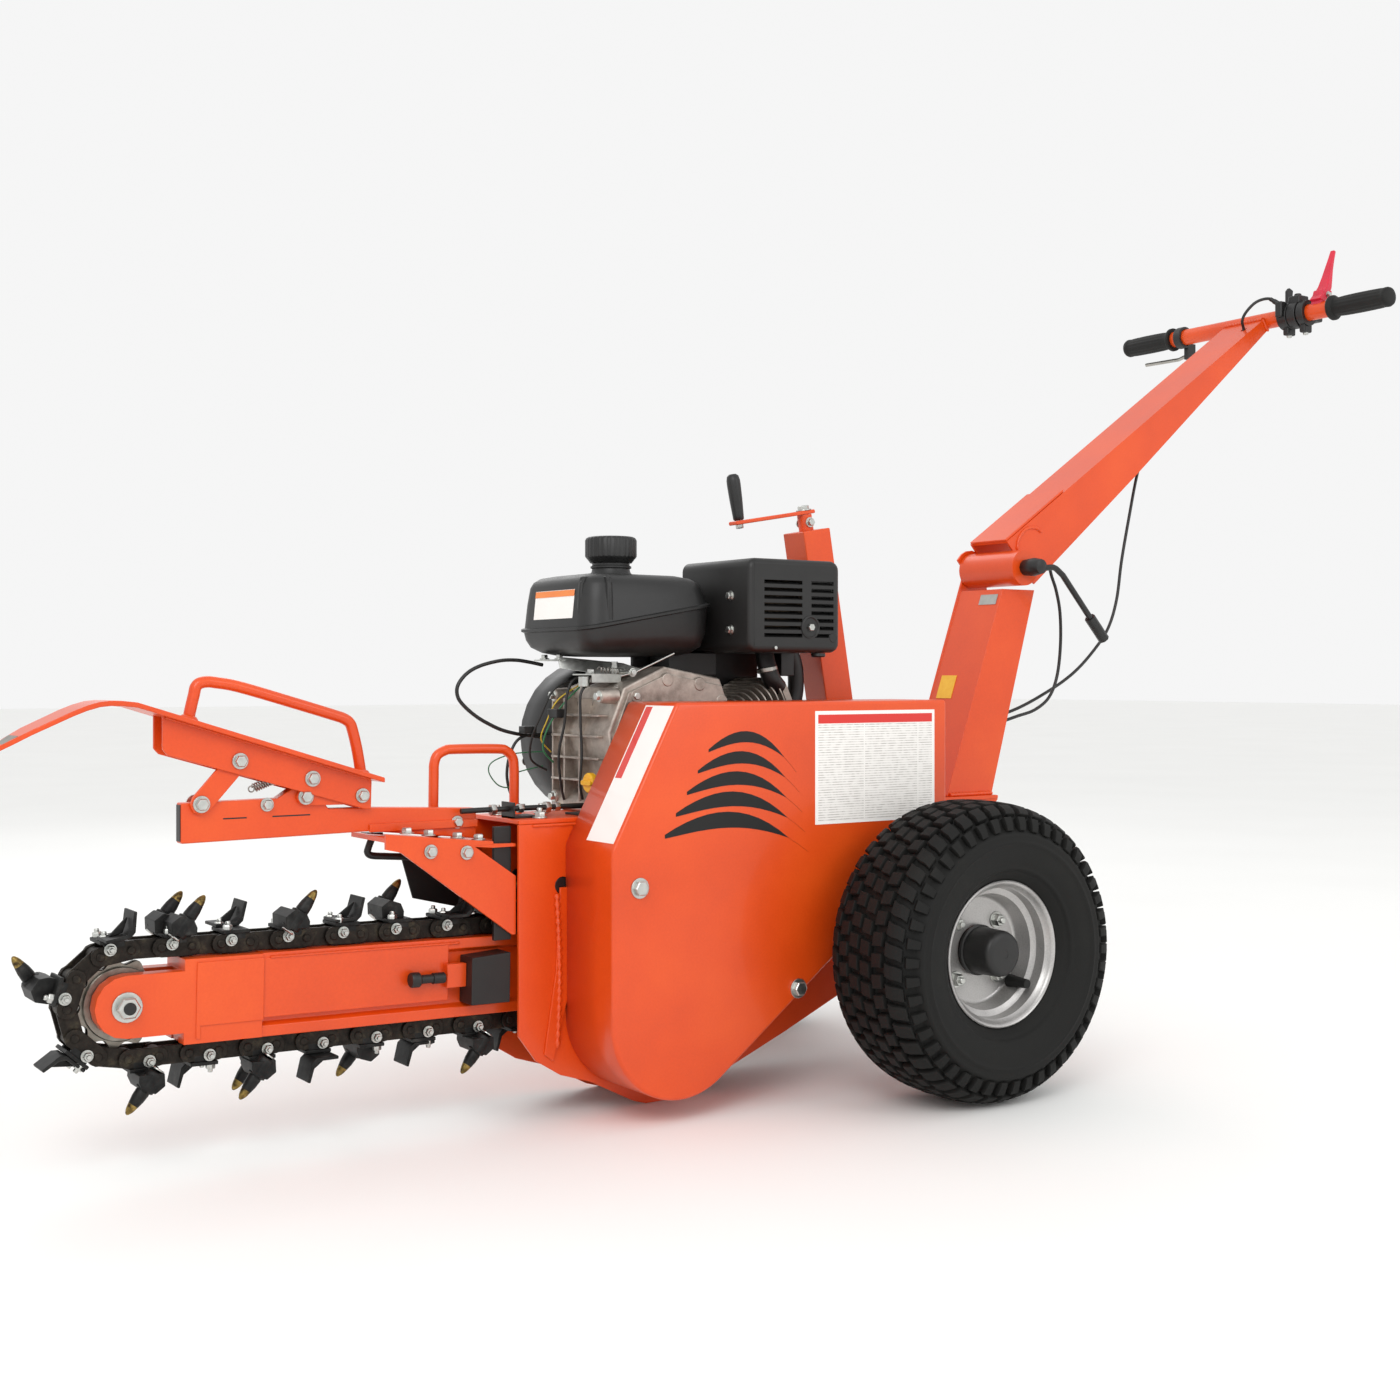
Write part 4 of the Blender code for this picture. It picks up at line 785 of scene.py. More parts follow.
# Silver rim paint: fine metallic flake under a thin lacquer
silver, tree, shader, place = new_finish("silver_rim_paint", "silver", metallic=0.65, roughness=0.34,
                                         coat_weight=0.3)
flake = add(tree, "TexNoise", {"Scale": per_metre(2), "Detail": 2}, {"Vector": place})
cloud = add(tree, "TexNoise", {"Scale": per_metre(70), "Detail": 3}, {"Vector": place})
both = add(tree, "Mix", {"data_type": "FLOAT", 0: 0.35}, {2: cloud.outputs["Fac"], 3: flake.outputs["Fac"]})
tree.links.new(blended(tree, both.outputs[0], "969492", "B4B2B0", "CBC9C7", spots=[0.3, 0.5, 0.75]),
               shader.inputs["Base Color"])
gloss = add(tree, "MapRange", {"To Min": 0.28, "To Max": 0.42}, {"Value": cloud.outputs["Fac"]})
tree.links.new(gloss.outputs["Result"], shader.inputs["Roughness"])

TYRE_R, WHEEL_Y, LUG_DEEP, LUG_ROWS = 0.203, 0.288, 0.0085, 46
# The tyre's outside from crown to bead, as (radius, distance from its middle)
tyre_side = [(0.203, 0.0), (0.2027, 0.02), (0.2008, 0.042), (0.1955, 0.061), (0.1845, 0.0735), (0.17, 0.079),
             (0.15, 0.08), (0.128, 0.0765), (0.111, 0.068), (0.1005, 0.058), (0.096, 0.052)]
side_curve = smooth_route([(r, y, 0) for r, y in tyre_side], 90)
side_reach = [0.0]
for a, b in zip(side_curve, side_curve[1:]):
    side_reach.append(side_reach[-1] + (b - a).length)


def tyre_skin(reach, inward):
    """(radius, height) on the tyre's outside at a distance from the crown, moved inwards."""
    far = abs(reach)
    k = next((i for i in range(1, 90) if side_reach[i] >= far), 89)
    share = (far - side_reach[k - 1]) / (side_reach[k] - side_reach[k - 1])
    spot = side_curve[k - 1].lerp(side_curve[k], share)
    run = (side_curve[k] - side_curve[k - 1]).normalized()
    r, y = spot.x - inward * run.y, spot.y + inward * run.x
    return r, y if reach >= 0 else -y


SHOULDER_END = 0.098
for name, side in (("near", -1), ("far", 1)):
    centre, outwards = at(0, side * WHEEL_Y, TYRE_R), (0, side, 0)
    body = "wheel_" + name
    move = Matrix.Translation(centre) @ Vector(outwards).to_track_quat("Z", "Y").to_matrix().to_4x4()

    bm = bmesh.new()
    profile = []
    for i in range(-75, 76):
        reach = side_reach[-1] * i / 75
        far = abs(reach)
        groove = LUG_DEEP * min(max((SHOULDER_END + 0.004 - far) / 0.01, 0), 1)
        rib = 0.0
        for mid in (0.114, 0.15):
            rib = max(rib, 0.0022 * max(0.0, 1 - abs(far - mid) / 0.004))
        profile.append(tyre_skin(reach, groove - rib if rib else groove))
    inside = [(0.093, 0.047), (0.12, 0.06), (0.16, 0.066), (0.188, 0.04), (0.19, 0.0),
              (0.188, -0.04), (0.16, -0.066), (0.12, -0.06), (0.093, -0.047)]
    spun(bm, centre, outwards, profile + inside, 112, looped=True)
    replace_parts(shown(f"tyre_{name}_carcass", bm, tyre_rubber, body, smooth=60), f"tyre_{name}")

    bm = bmesh.new()
    # Columns of lugs: where each starts and ends across the tread, its sweep, its place in the row
    columns = [(0.0022, 0.0205, 0.1, 0.0), (0.0242, 0.0425, -0.06, 0.5), (0.0462, 0.0735, 0.26, 0.0),
               (0.0768, SHOULDER_END, 0.04, 0.5)]
    for w0, w1, sweep, offset in columns:
        for flank in (1, -1):
            for i in range(LUG_ROWS):
                middle = (i + offset + (0.25 if flank > 0 else 0.0)) * 2 * pi / LUG_ROWS
                grids = []
                for inward, shrink in ((LUG_DEEP + 0.001, 1.0), (0.0009, 0.94), (0.0, 0.86)):
                    grid = []
                    for s in range(4):
                        t = s / 3
                        w = w0 + (w1 - w0) * (0.5 + (t - 0.5) * shrink)
                        bend = sweep * (t - 0.5 + 0.1225 * sin(2 * pi * t)) * flank
                        r, h = tyre_skin(w * flank, inward)
                        wide = 0.355 if w0 < 0.07 else 0.3 - 0.05 * t
                        for edge in (-1, 1):
                            a = middle + (bend + edge * wide * shrink) * 2 * pi / LUG_ROWS
                            grid.append(move @ Vector((r * cos(a), r * sin(a), h)))
                    grids.append([grid[k] for k in (0, 1, 3, 5, 7, 6, 4, 2)])
                rings = loft(bm, grids, capped=False)
                for strip in ((0, 1, 2, 7), (7, 2, 3, 6), (6, 3, 4, 5)):
                    bm.faces.new([rings[-1][k] for k in strip])
                bm.faces.new(rings[0])
    shown(f"tyre_{name}_lugs", bm, tyre_rubber, body, smooth=42)

    # Rim: curled lips, a bead seat, a step, a deep well and a flat disc, pressed from 3 mm sheet
    bm = bmesh.new()
    dish = [(0.033, 0.006), (0.069, 0.006), (0.072, 0.0068), (0.0745, 0.01), (0.0765, 0.023), (0.0785, 0.031),
            (0.0835, 0.0335), (0.0866, 0.0345), (0.0872, 0.044), (0.0878, 0.049), (0.0905, 0.0515),
            (0.0925, 0.056), (0.0945, 0.059), (0.0968, 0.06), (0.0985, 0.0588), (0.0987, 0.057),
            (0.097, 0.056), (0.0955, 0.053), (0.0925, 0.048)]
    back = [(r, -h) for r, h in reversed(dish[6:])]
    dish += [(0.09, 0.02), (0.084, 0.01), (0.084, -0.01), (0.09, -0.02)] + back
    dish += [(0.078, -0.031), (0.0745, -0.01), (0.072, 0.002), (0.07, 0.003), (0.033, 0.003)]
    spun(bm, centre, outwards, dish, 96, looped=True)
    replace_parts(shown(f"rim_{name}_dish", bm, silver, body, smooth=40), f"rim_{name}")
    bm = bmesh.new()
    spun(bm, centre, outwards, [(0.0128, -0.05), (0.03, -0.05), (0.032, -0.048), (0.032, 0.01),
                                (0.0345, 0.011), (0.0345, 0.014), (0.032, 0.015), (0.031, 0.054),
                                (0.0295, 0.0585), (0.0262, 0.0612), (0.02, 0.062), (0.006, 0.0622),
                                (0.006, 0.06), (0.0128, 0.059)], 48, looped=True)
    spun(bm, centre, outwards, [(0.0068, 0.0596), (0.0068, 0.0619)], 20)
    shown(f"hub_{name}", bm, black_steel, body, smooth=40)
    bm = bmesh.new()
    for k in range(4):
        a = radians(45 + 90 * k)
        hex_head(bm, move @ Vector((0.053 * cos(a), 0.053 * sin(a), 0.006)), outwards, 0.015, 0.009,
                 shank=0.004)
    shown(f"wheel_bolts_{name}", bm, zinc, body, 0.0003)
    bm = bmesh.new()
    stem = move @ Vector((0.073 * cos(radians(-40)), 0.073 * sin(radians(-40) * -side), 0.014))
    tube(bm, [stem + Vector((0, side * out, 0)) for out in (0, 0.01, 0.034)], [0.0095, 0.008, 0.0062], 16)
    shown(f"valve_{name}", bm, rubber, body)

# ---------------------------------------------------------------- axle carriage and lift jack
# A square tube carries the axle and slides in the square post, driven by a screw that the
# crank on top turns. A pinned collar joins the screw to the flat crank arm.

dressed("axle_carriage", orange, 0.0012)
dressed("jack_post", orange, 0.0042, segments=3)
dressed("jack_screw", orange, 0.0006)
dressed("crank_arm", orange, 0.0018, segments=3)
JACK_TOP, JACK_LEAN = (-0.062, 0.79), radians(9.9)


def on_jack(along, y, up):
    """A point on the lift jack: along its crank, across it, and up from its post's top."""
    return at(JACK_TOP[0] + along * cos(JACK_LEAN) - up * sin(JACK_LEAN), y,
              JACK_TOP[1] + along * sin(JACK_LEAN) + up * cos(JACK_LEAN))


jack_up = (-sin(JACK_LEAN), 0, cos(JACK_LEAN))
bm = bmesh.new()
for y, axis in ((-0.0105, NEAR), (0.0105, FAR)):
    hex_head(bm, on_jack(0, y, 0.012), axis, 0.01, 0.005)
hex_head(bm, on_jack(0.0, 0, 0.03), jack_up, 0.015, 0.006)
hex_head(bm, on_jack(-0.12, 0, 0.0243), (sin(JACK_LEAN), 0, -cos(JACK_LEAN)), 0.01, 0.006, washer=False)
shown("jack_fasteners", bm, zinc, "crank", 0.0003)
bm = bmesh.new()
spun(bm, on_jack(-0.12, 0, 0.0303), jack_up,
     [(0.006, 0.0), (0.0078, 0.0015), (0.0082, 0.008), (0.0094, 0.03), (0.01, 0.052), (0.0098, 0.058),
      (0.0084, 0.064), (0.005, 0.0668), (0.002, 0.067)], 28)
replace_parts(shown("crank_grip_moulding", bm, moulded, "crank_grip_body", smooth=50), "crank_grip")

# ---------------------------------------------------------------- digging boom
# A box beam with a hard rail for the chain above and below, and bolted side plates that carry
# the nose wheel. A screw at its root tightens the chain.

NOSE, HEAD = (-1.068, 0.198), (-0.4186, 0.186)
BOOM_LEAN = atan2(NOSE[1] - HEAD[1], HEAD[0] - NOSE[0])


def on_boom(along, y, up):
    """A point on the boom, from the nose bolt along it and up from its centre line."""
    return at(NOSE[0] + along * cos(BOOM_LEAN) + up * sin(BOOM_LEAN), y,
              NOSE[1] - along * sin(BOOM_LEAN) + up * cos(BOOM_LEAN))


dressed("boom_bar", orange, 0.0012)
dressed("boom_nose", orange, 0.0022, segments=3)


def on_flanks(bm, *plates):
    """Plates of (along, up) points on the boom's flanks, each between two distances from its middle."""
    for side in (-1, 1):
        for outline, near, far in plates:
            loft(bm, [[on_boom(along, y, up) for along, up in outline] for y in (side * near, side * far)])


# The side plates fill the beam's flanks down to a dark slot above the lower rail
bm = bmesh.new()
on_flanks(bm, ([(0.16, -0.027), (0.405, -0.027), (0.405, 0.044), (0.16, 0.044)], 0.022, 0.0312))
shown("boom_side_plates", bm, orange, "frame", 0.0012)
bm = bmesh.new()
cheek = [(0.08, -0.044), (0.085, -0.044), (0.085, -0.029), (0.161, -0.029), (0.161, 0.045), (0.08, 0.045)]
lug = [(0.398, -0.01), (0.425, -0.01), (0.425, 0.02), (0.398, 0.02)]
on_flanks(bm, (cheek, 0.033, 0.0352), (lug, 0.031, 0.042))
shown("boom_cheeks", bm, orange, "frame", 0.0016)
bm = bmesh.new()
weld(bm, lambda t: on_boom(0.17 + 0.25 * t, -0.0312, 0.0445), 81, 0.0016, 0.0004, 2.1, 6)
shown("boom_weld", bm, orange, "frame", smooth=60)
dressed("boom_mount", black_steel, 0.0014)
bm = bmesh.new()
brick(bm, (-0.608, -0.05, 0.236), (-0.583, -0.044, 0.382))
shown("root_strap", bm, black_steel, "frame", 0.001)
bm = bmesh.new()
spun(bm, on_boom(0.347, -0.042, 0.004), on_boom(1, 0, 0) - on_boom(0, 0, 0),
     [(0.0085, 0.0), (0.0096, 0.0015), (0.0096, 0.011), (0.008, 0.013), (0.0058, 0.0135),
      (0.0056, 0.03), (0.007, 0.0305), (0.007, 0.046), (0.006, 0.047)], 20)
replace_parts(shown("tension_screw", bm, black_steel, "frame"), "tension_bolt")
dressed("head_bearing", steel, 0.0005)

nose_at = on_boom(0, 0, 0)
bm = bmesh.new()
for side in (-1, 1):
    hex_head(bm, nose_at + Vector((0, side * 0.0333, 0)), (0, side, 0), 0.023, 0.01)
shown("nose_nuts", bm, zinc, "frame", 0.0005)
bm = bmesh.new()
spun(bm, nose_at + Vector((0, -0.047, 0)), FAR, [(0.0062, 0), (0.0072, 0.001), (0.0075, 0.093),
                                                 (0.0062, 0.094)], 20)
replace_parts(shown("nose_axle", bm, black_steel, "frame"), "nose_bolt")

# The nose wheel's rim is scalloped to take the chain's rollers
NOSE_DISC_R, TOOTH_HIGH, NOSE_TEETH = 0.045, 0.007, 11
bm = bmesh.new()
rings = []
for y, grow in ((-0.0055, -0.0006), (-0.0045, 0.0), (0.0045, 0.0), (0.0055, -0.0006)):
    ring = []
    for k in range(132):
        a = 2 * pi * k / 132
        r = NOSE_DISC_R + grow + TOOTH_HIGH * (0.5 + 0.5 * cos(a * NOSE_TEETH))
        ring.append(nose_at + Vector((r * cos(a), y, r * sin(a))))
    rings.append(ring)
loft(bm, rings)
for y0, y1 in ((-0.01, -0.0055), (0.0055, 0.01)):
    spun(bm, nose_at + Vector((0, y0, 0)), FAR, [(0.042, 0), (0.043, 0.0008), (0.043, y1 - y0)], 40)
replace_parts(shown("nose_wheel_disc", bm, steel, "nose_wheel", smooth=30), "nose_sprocket")

# ---------------------------------------------------------------- digging chain
# A heavy roller chain of 35 mm pitch. Every second link carries a bolted tool: flat cup
# cutters and bullet picks in forged holders, their carbide tips brazed with brass.

# Oiled chain steel: near black, blotched with brown oil and earth, shiny on its edges
oiled = weathered("oiled_chain_steel", "chain_steel", [(18, 6, 0.7), (3, 3)], ("191613", "2F2A25", "57503F"),
                  [0.32, 0.55, 0.8], gloss=(0.34, 0.68), gloss_by=-1, relief=(0.45, 0.0006), metallic=0.75,
                  roughness=0.48)

# Forged tool steel: black oxide, satin, with worn grey corners
forged = weathered("black_oxide_forging", "chain_steel", [(14, 5, 0.6)], ("141414", "262625", "4A4845"),
                   [0.35, 0.58, 0.85], relief=(0.3, 0.0005), metallic=0.6, roughness=0.5)

# Brass braze and carbide: warm, dull gold over a dark bullet
brazed = weathered("brazed_carbide_tip", "chain_steel", [(6, 4)], ("3B3022", "8A7440", "B79B5A"),
                   [0.35, 0.55, 0.8], metallic=0.9, roughness=0.42)

CHAIN_R, CHAIN_ALONG = 0.0626, hypot(HEAD[0] - NOSE[0], HEAD[1] - NOSE[1])
CHAIN_LAP = 2 * (CHAIN_ALONG + pi * CHAIN_R)
LINKS = 48


def on_chain(distance):
    """The place on the chain's loop, its way of travel and the way out, in the boom's plane."""
    bend = pi * CHAIN_R
    d = distance % CHAIN_LAP
    if d < CHAIN_ALONG:
        spot, heading = (CHAIN_ALONG - d, CHAIN_R), pi
    elif d < CHAIN_ALONG + bend:
        a = pi / 2 + (d - CHAIN_ALONG) / CHAIN_R
        spot, heading = (CHAIN_R * cos(a), CHAIN_R * sin(a)), a + pi / 2
    elif d < 2 * CHAIN_ALONG + bend:
        spot, heading = (d - CHAIN_ALONG - bend, -CHAIN_R), 0.0
    else:
        a = -pi / 2 + (d - 2 * CHAIN_ALONG - bend) / CHAIN_R
        spot, heading = (CHAIN_ALONG + CHAIN_R * cos(a), CHAIN_R * sin(a)), a + pi / 2
    base = on_boom(spot[0], 0, spot[1])
    forward = (on_boom(cos(heading), 0, sin(heading)) - on_boom(0, 0, 0)).normalized()
    outward = (on_boom(sin(heading), 0, -cos(heading)) - on_boom(0, 0, 0)).normalized()
    return base, forward, outward


links, rollers, tools, bullets, tips, nuts = (bmesh.new() for _ in range(6))
pitch = CHAIN_LAP / LINKS
PLATE_HIGH = 0.0112
for i in range(LINKS):
    a, _, outward = on_chain((i + 0.7 - 0.5) * pitch)
    b = on_chain((i + 0.7 + 0.5) * pitch)[0]
    run = (b - a).normalized()
    out = Vector((0, 1, 0)).cross(run)
    if out.dot(outward) < 0:
        out = -out
    outline = []
    for end, way in ((b, 1), (a, -1)):
        for k in range(7):
            turn = radians(-90 + 30 * k) * way
            outline.append(end + (run * cos(turn) * way + out * sin(turn)) * PLATE_HIGH)
    plate_y = (0.0108, 0.0145) if i % 2 else (0.015, 0.0188)
    for side in (-1, 1):
        loft(links, [[p + Vector((0, side * y, 0)) for p in outline] for y in plate_y])
    for r, half, sides in ((0.0095, 0.0104, 18), (0.005, 0.0208, 12)):
        ends = 0.0007 if r == 0.0095 else 0.001
        spun(rollers, a + Vector((0, -half, 0)), FAR,
             [(r - ends, 0), (r, 0.0008), (r, 2 * half - 0.0008), (r - ends, 2 * half)], sides)

# Where each tool sits across the chain, from side to side, and whether it is a pick or a cup
spread = [(-0.033, "pick"), (0.028, "cup"), (0.0, "twin"), (-0.028, "cup"), (0.033, "pick"), (0.0, "cup")]
for i in range(LINKS // 2):
    base, forward, outward = on_chain((i + 0.35) * 2 * pitch)
    side_y, kind = spread[i % len(spread)]

    def tool(p, q, y):
        """A point on this tool: ahead, out from the chain, and across."""
        return base - forward * p + outward * q + Vector((0, y, 0))

    # Base plate across both link plates, with its two bolts
    loft(tools, [[tool(p, q, y) for p, y in ((-0.0165, -0.0215), (0.0165, -0.0215), (0.0165, 0.0215),
                                             (-0.0165, 0.0215))]
                 for q in (0.0114, 0.016)])
    for y in (-0.0165, 0.0165):
        loft(tools, [[tool(p, q, y + side) for p, side in ((-0.012, -0.0025), (0.012, -0.0025),
                                                           (0.012, 0.0025), (-0.012, 0.0025))]
                     for q in (0.004, 0.012)])
        hex_head(nuts, tool(-0.006, 0.004, y * (0.0193 / 0.0165)), (0, y, 0), 0.0095, 0.006, shank=0.002)
        hex_head(nuts, tool(-0.009, 0.016, y * 0.9), outward, 0.01, 0.0055, washer=False, shank=0.003)
    if kind == "cup":
        y0, y1 = sorted((side_y * 1.55, side_y * 0.35)) if side_y else (-0.017, 0.017)
        y0, y1, middle = y0 - 0.003, y1 + 0.003, (y0 + y1) / 2
        cup = [(-0.016, 0.016), (0.012, 0.0165), (0.018, 0.022), (0.023, 0.045), (0.0195, 0.046),
               (0.014, 0.026), (0.0085, 0.0205), (-0.016, 0.02)]
        loft(tools, [[tool(p, q, y) for p, q in cup] for y in (y0, y1)])
        rib = [(-0.01, 0.0195), (0.008, 0.021), (0.0165, 0.038), (0.0145, 0.0385)]
        loft(tools, [[tool(p, q, y) for p, q in rib] for y in (middle - 0.002, middle + 0.002)])
        continue
    for y, ahead in [(side_y, 0.0)] if kind == "pick" else [(-0.026, 0.006), (0.026, -0.004)]:
        middle = 0.006 if y > 0 else -0.006
        lean = (outward * 0.8 - forward * 0.6).normalized()
        foot = tool(-0.01 + ahead, 0.015, y)
        arm = [(-0.017, 0.015), (0.012, 0.015), (0.0125, 0.023), (0.008, 0.033), (-0.007, 0.038),
               (-0.018, 0.03)]
        loft(tools, [[tool(p + ahead, q, across) for p, q in arm]
                     for across in (min(y, middle) - 0.01, max(y, middle) + 0.01)])
        spun(bullets, foot, lean, [(0.01, 0.0), (0.0112, 0.0015), (0.0112, 0.023), (0.008, 0.0245),
                                   (0.0084, 0.0262), (0.0078, 0.035), (0.0062, 0.043)], 16)
        spun(tips, foot + lean * 0.043, lean, [(0.0062, 0.0), (0.0056, 0.003), (0.0052, 0.005),
                                               (0.0042, 0.008), (0.0022, 0.0115), (0.0008, 0.0125)], 14)
        spun(nuts, foot - lean * 0.0025, -lean, [(0.007, 0), (0.0078, 0.0006), (0.0078, 0.0018),
                                                 (0.007, 0.0024)], 16)
chain_piece = shown("chain_links", links, oiled, "frame", 0.0007, segments=1)
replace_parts(chain_piece, "digging_chain")
shown("chain_rollers", rollers, oiled, "frame")
shown("chain_tools", tools, forged, "frame", 0.0012, segments=2)
shown("chain_bullets", bullets, forged, "frame")
shown("chain_tips", tips, brazed, "frame", smooth=50)
shown("chain_fasteners", nuts, zinc, "frame")

# ---------------------------------------------------------------- engine block
# A single-cylinder engine of about 9 hp: die-cast aluminium crankcase with ribs and a bolted
# side cover, a tilted finned cylinder, a black blower housing and a yellow oil dipstick.

# Die-cast aluminium: grey-beige, sandy, darker and oilier in the hollows
cast = weathered("die_cast_aluminium", "cast_alloy", [(28, 5, 0.65), (1.8, 2)],
                 ("857C74", "B0A69D", "CFC6BC"), [0.28, 0.5, 0.75], gloss=(0.38, 0.62),
                 relief=(0.35, 0.0004), metallic=0.85, roughness=0.5)

dressed("crankcase", cast, 0.0035, segments=3)
bm = bmesh.new()
# Stiffening ribs and bolt bosses on the end face, towards the boom
for z in (0.432, 0.462, 0.492, 0.52):
    brick(bm, (-0.447, 0.0 if z < 0.45 else -0.04, z), (-0.425, 0.086, z + 0.0035))
for y in (0.01, 0.05, 0.082):
    brick(bm, (-0.446, y, 0.405), (-0.425, y + 0.0035, 0.545))
end_bosses = [(-0.044, 0.408), (0.078, 0.408), (-0.044, 0.548), (0.078, 0.548)]
for y, z in end_bosses:
    spun(bm, at(-0.42, y, z), AHEAD, [(0.011, 0), (0.01, 0.02), (0.009, 0.027)], 20)
# Side cover: a flanged lid on the near side, with its bolt bosses
cover = [(-0.43, 0.4), (-0.235, 0.4), (-0.222, 0.47), (-0.258, 0.562), (-0.348, 0.578),
         (-0.41, 0.553), (-0.433, 0.496)]
prism(bm, cover, -0.06, -0.055)
cover_bosses = [(-0.418, 0.412), (-0.418, 0.456), (-0.42, 0.502), (-0.398, 0.548), (-0.348, 0.57),
                (-0.295, 0.564), (-0.258, 0.54)]
for x, z in cover_bosses:
    spun(bm, at(x, -0.057, z), NEAR, [(0.01, 0), (0.0092, 0.004)], 18)
shown("crankcase_ribs", bm, cast, "frame", 0.0012)
bm = bmesh.new()
for x, z in cover_bosses[:4]:
    hex_head(bm, at(x, -0.06, z), NEAR, 0.009, 0.003, washer=False)
for y, z in end_bosses:
    hex_head(bm, at(-0.446, y, z), AHEAD, 0.01, 0.006)
for x, y in ((-0.436, -0.04), (-0.436, 0.074), (-0.226, 0.074)):
    hex_head(bm, at(x, y, 0.4043), UP, 0.013, 0.007, washer=False)
shown("engine_bolts", bm, zinc, "frame", 0.0003)

# Cylinder: a barrel in thin cooling fins with rounded corners, then the head and rocker cover
FIN_COUNT, BARREL_LEAN = 9, radians(25)


def on_barrel(along, y, up):
    """A point on the tilted cylinder, measured from its foot on the crankcase."""
    return at(-0.213 + along * cos(BARREL_LEAN) - up * sin(BARREL_LEAN), y,
              0.485 + along * sin(BARREL_LEAN) + up * cos(BARREL_LEAN))


def round_corner_ring(place, low, high, corner, steps=5):
    """A rectangle with round corners through place(a, b), anticlockwise."""
    ring = []
    for cx, cy, start in ((high[0] - corner, high[1] - corner, 0), (low[0] + corner, high[1] - corner, 90),
                          (low[0] + corner, low[1] + corner, 180), (high[0] - corner, low[1] + corner, 270)):
        for k in range(steps + 1):
            a = radians(start + 90 * k / steps)
            ring.append(place(cx + corner * cos(a), cy + corner * sin(a)))
    return ring


bm = bmesh.new()
barrel = [((0.008 + i * 0.0098, 0.0104 + i * 0.0098), (-0.052, -0.058), (0.068, 0.056), 0.026)
          for i in range(FIN_COUNT)]
barrel += [((-0.02, 0.098), (-0.036, -0.04), (0.052, 0.038), 0.03),
           ((0.094, 0.1046), (-0.046, -0.05), (0.062, 0.048), 0.014)]
for ends, low, high, corner in barrel:
    loft(bm, [round_corner_ring(lambda a, b: on_barrel(s, a, b), low, high, corner) for s in ends])
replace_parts(shown("cylinder_fins", bm, cast, "frame", 0.0006), "cylinder_head")

# Carburettor flange, intake elbow and breather duct below the muffler's guard
bm = bmesh.new()
tube(bm, smooth_route([at(-0.163, -0.03, 0.612), at(-0.162, -0.036, 0.59), at(-0.156, -0.04, 0.57),
                       at(-0.142, -0.036, 0.558)], 20), 0.0135, 20)
tube(bm, smooth_route([at(-0.092, 0.0, 0.612), at(-0.083, 0.0, 0.585), at(-0.083, 0.0, 0.55),
                       at(-0.095, 0.0, 0.518), at(-0.118, 0.0, 0.5)], 30), 0.012, 20)
brick(bm, (-0.124, -0.02, 0.575), (-0.1, 0.03, 0.612))
# Carburettor box and the cooling shroud that stands behind it
brick(bm, (-0.306, 0.0, 0.576), (-0.225, 0.05, 0.608))
brick(bm, (-0.33, 0.056, 0.56), (-0.11, 0.064, 0.614))
shown("intake_ducts", bm, moulded, "frame", 0.002)
bm = bmesh.new()
spun(bm, at(-0.162, -0.036, 0.588), (0.15, -0.1, -1), [(0.0138, 0), (0.015, 0.0006), (0.015, 0.007),
                                                       (0.0138, 0.0076)], 28)
shown("intake_clamps", bm, bright, "frame", 0.001)

# Blower housing: a pressed black cowl, its recoil cover screwed to it and slotted for air
dressed("blower_housing", moulded, 0.0022, smooth=50)
bm = bmesh.new()
for k in range(18):
    a = 2 * pi * k / 18
    spot = [(-0.343 + r * cos(a + d), 0.487 + r * sin(a + d))
            for r, d in ((0.068, -0.06), (0.094, -0.06), (0.094, 0.06), (0.068, 0.06))]
    prism(bm, spot, 0.1765, 0.1835)
spun(bm, at(-0.343, 0.2046, 0.487), FAR, [(0.04, 0), (0.038, 0.0012)], 40)
spun(bm, at(-0.252, 0.196, 0.551), FAR, [(0.013, -0.03), (0.013, 0.0), (0.011, 0.0052), (0.005, 0.006)], 24)
shown("recoil_louvres", bm, moulded, "frame", 0.0008)
bm = bmesh.new()
for k in range(4):
    a = radians(20 + 90 * k)
    hex_head(bm, at(-0.343 + 0.1 * cos(a), 0.174, 0.487 + 0.1 * sin(a)), FAR, 0.009, 0.005)
shown("recoil_screws", bm, zinc, "frame", 0.0003)
bm = bmesh.new()
loft(bm, [round_corner_ring(lambda a, b: at(a, s, b), (-0.272, 0.545), (-0.232, 0.557), c)
          for s, c in ((0.2053, 0.004), (0.2085, 0.0059), (0.217, 0.0059), (0.2203, 0.004))])
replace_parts(shown("starter_handle", bm, moulded, "starter", smooth=60), "starter_grip")

# Starter rope: braided nylon, drawn out of the housing by the handle
rope, tree, shader, place = new_finish("braided_nylon_rope", "rubber", roughness=0.8)
braid = add(tree, "TexWave", {"Scale": wave_scale(3), "bands_direction": "DIAGONAL", "Distortion": 2},
            {"Vector": place})
tree.links.new(blended(tree, braid.outputs["Fac"], "1B1B1B", "3C3B39"), shader.inputs["Base Color"])
raised(tree, shader, braid.outputs["Fac"], 0.5, 0.0004)
bm = bmesh.new()
tube(bm, [at(-0.252, 0.19 + 0.017 * i / 12, 0.551) for i in range(13)], 0.002, 10)
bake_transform(shown("starter_rope", bm, rope, None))

# Dipstick: yellow polypropylene with a winged grip
yellow = weathered("yellow_polypropylene", "yellow_plastic", [(12, 3)], ("E2A513", "F5B820"),
                   gloss=(0.38, 0.55), roughness=0.45, subsurface_weight=0.05)
bm = bmesh.new()
spun(bm, at(-0.4345, -0.03, 0.432), AHEAD, [(0.0075, 0.0), (0.0075, 0.0115), (0.0128, 0.0135),
                                            (0.0135, 0.015), (0.0135, 0.0215), (0.012, 0.023)], 28)
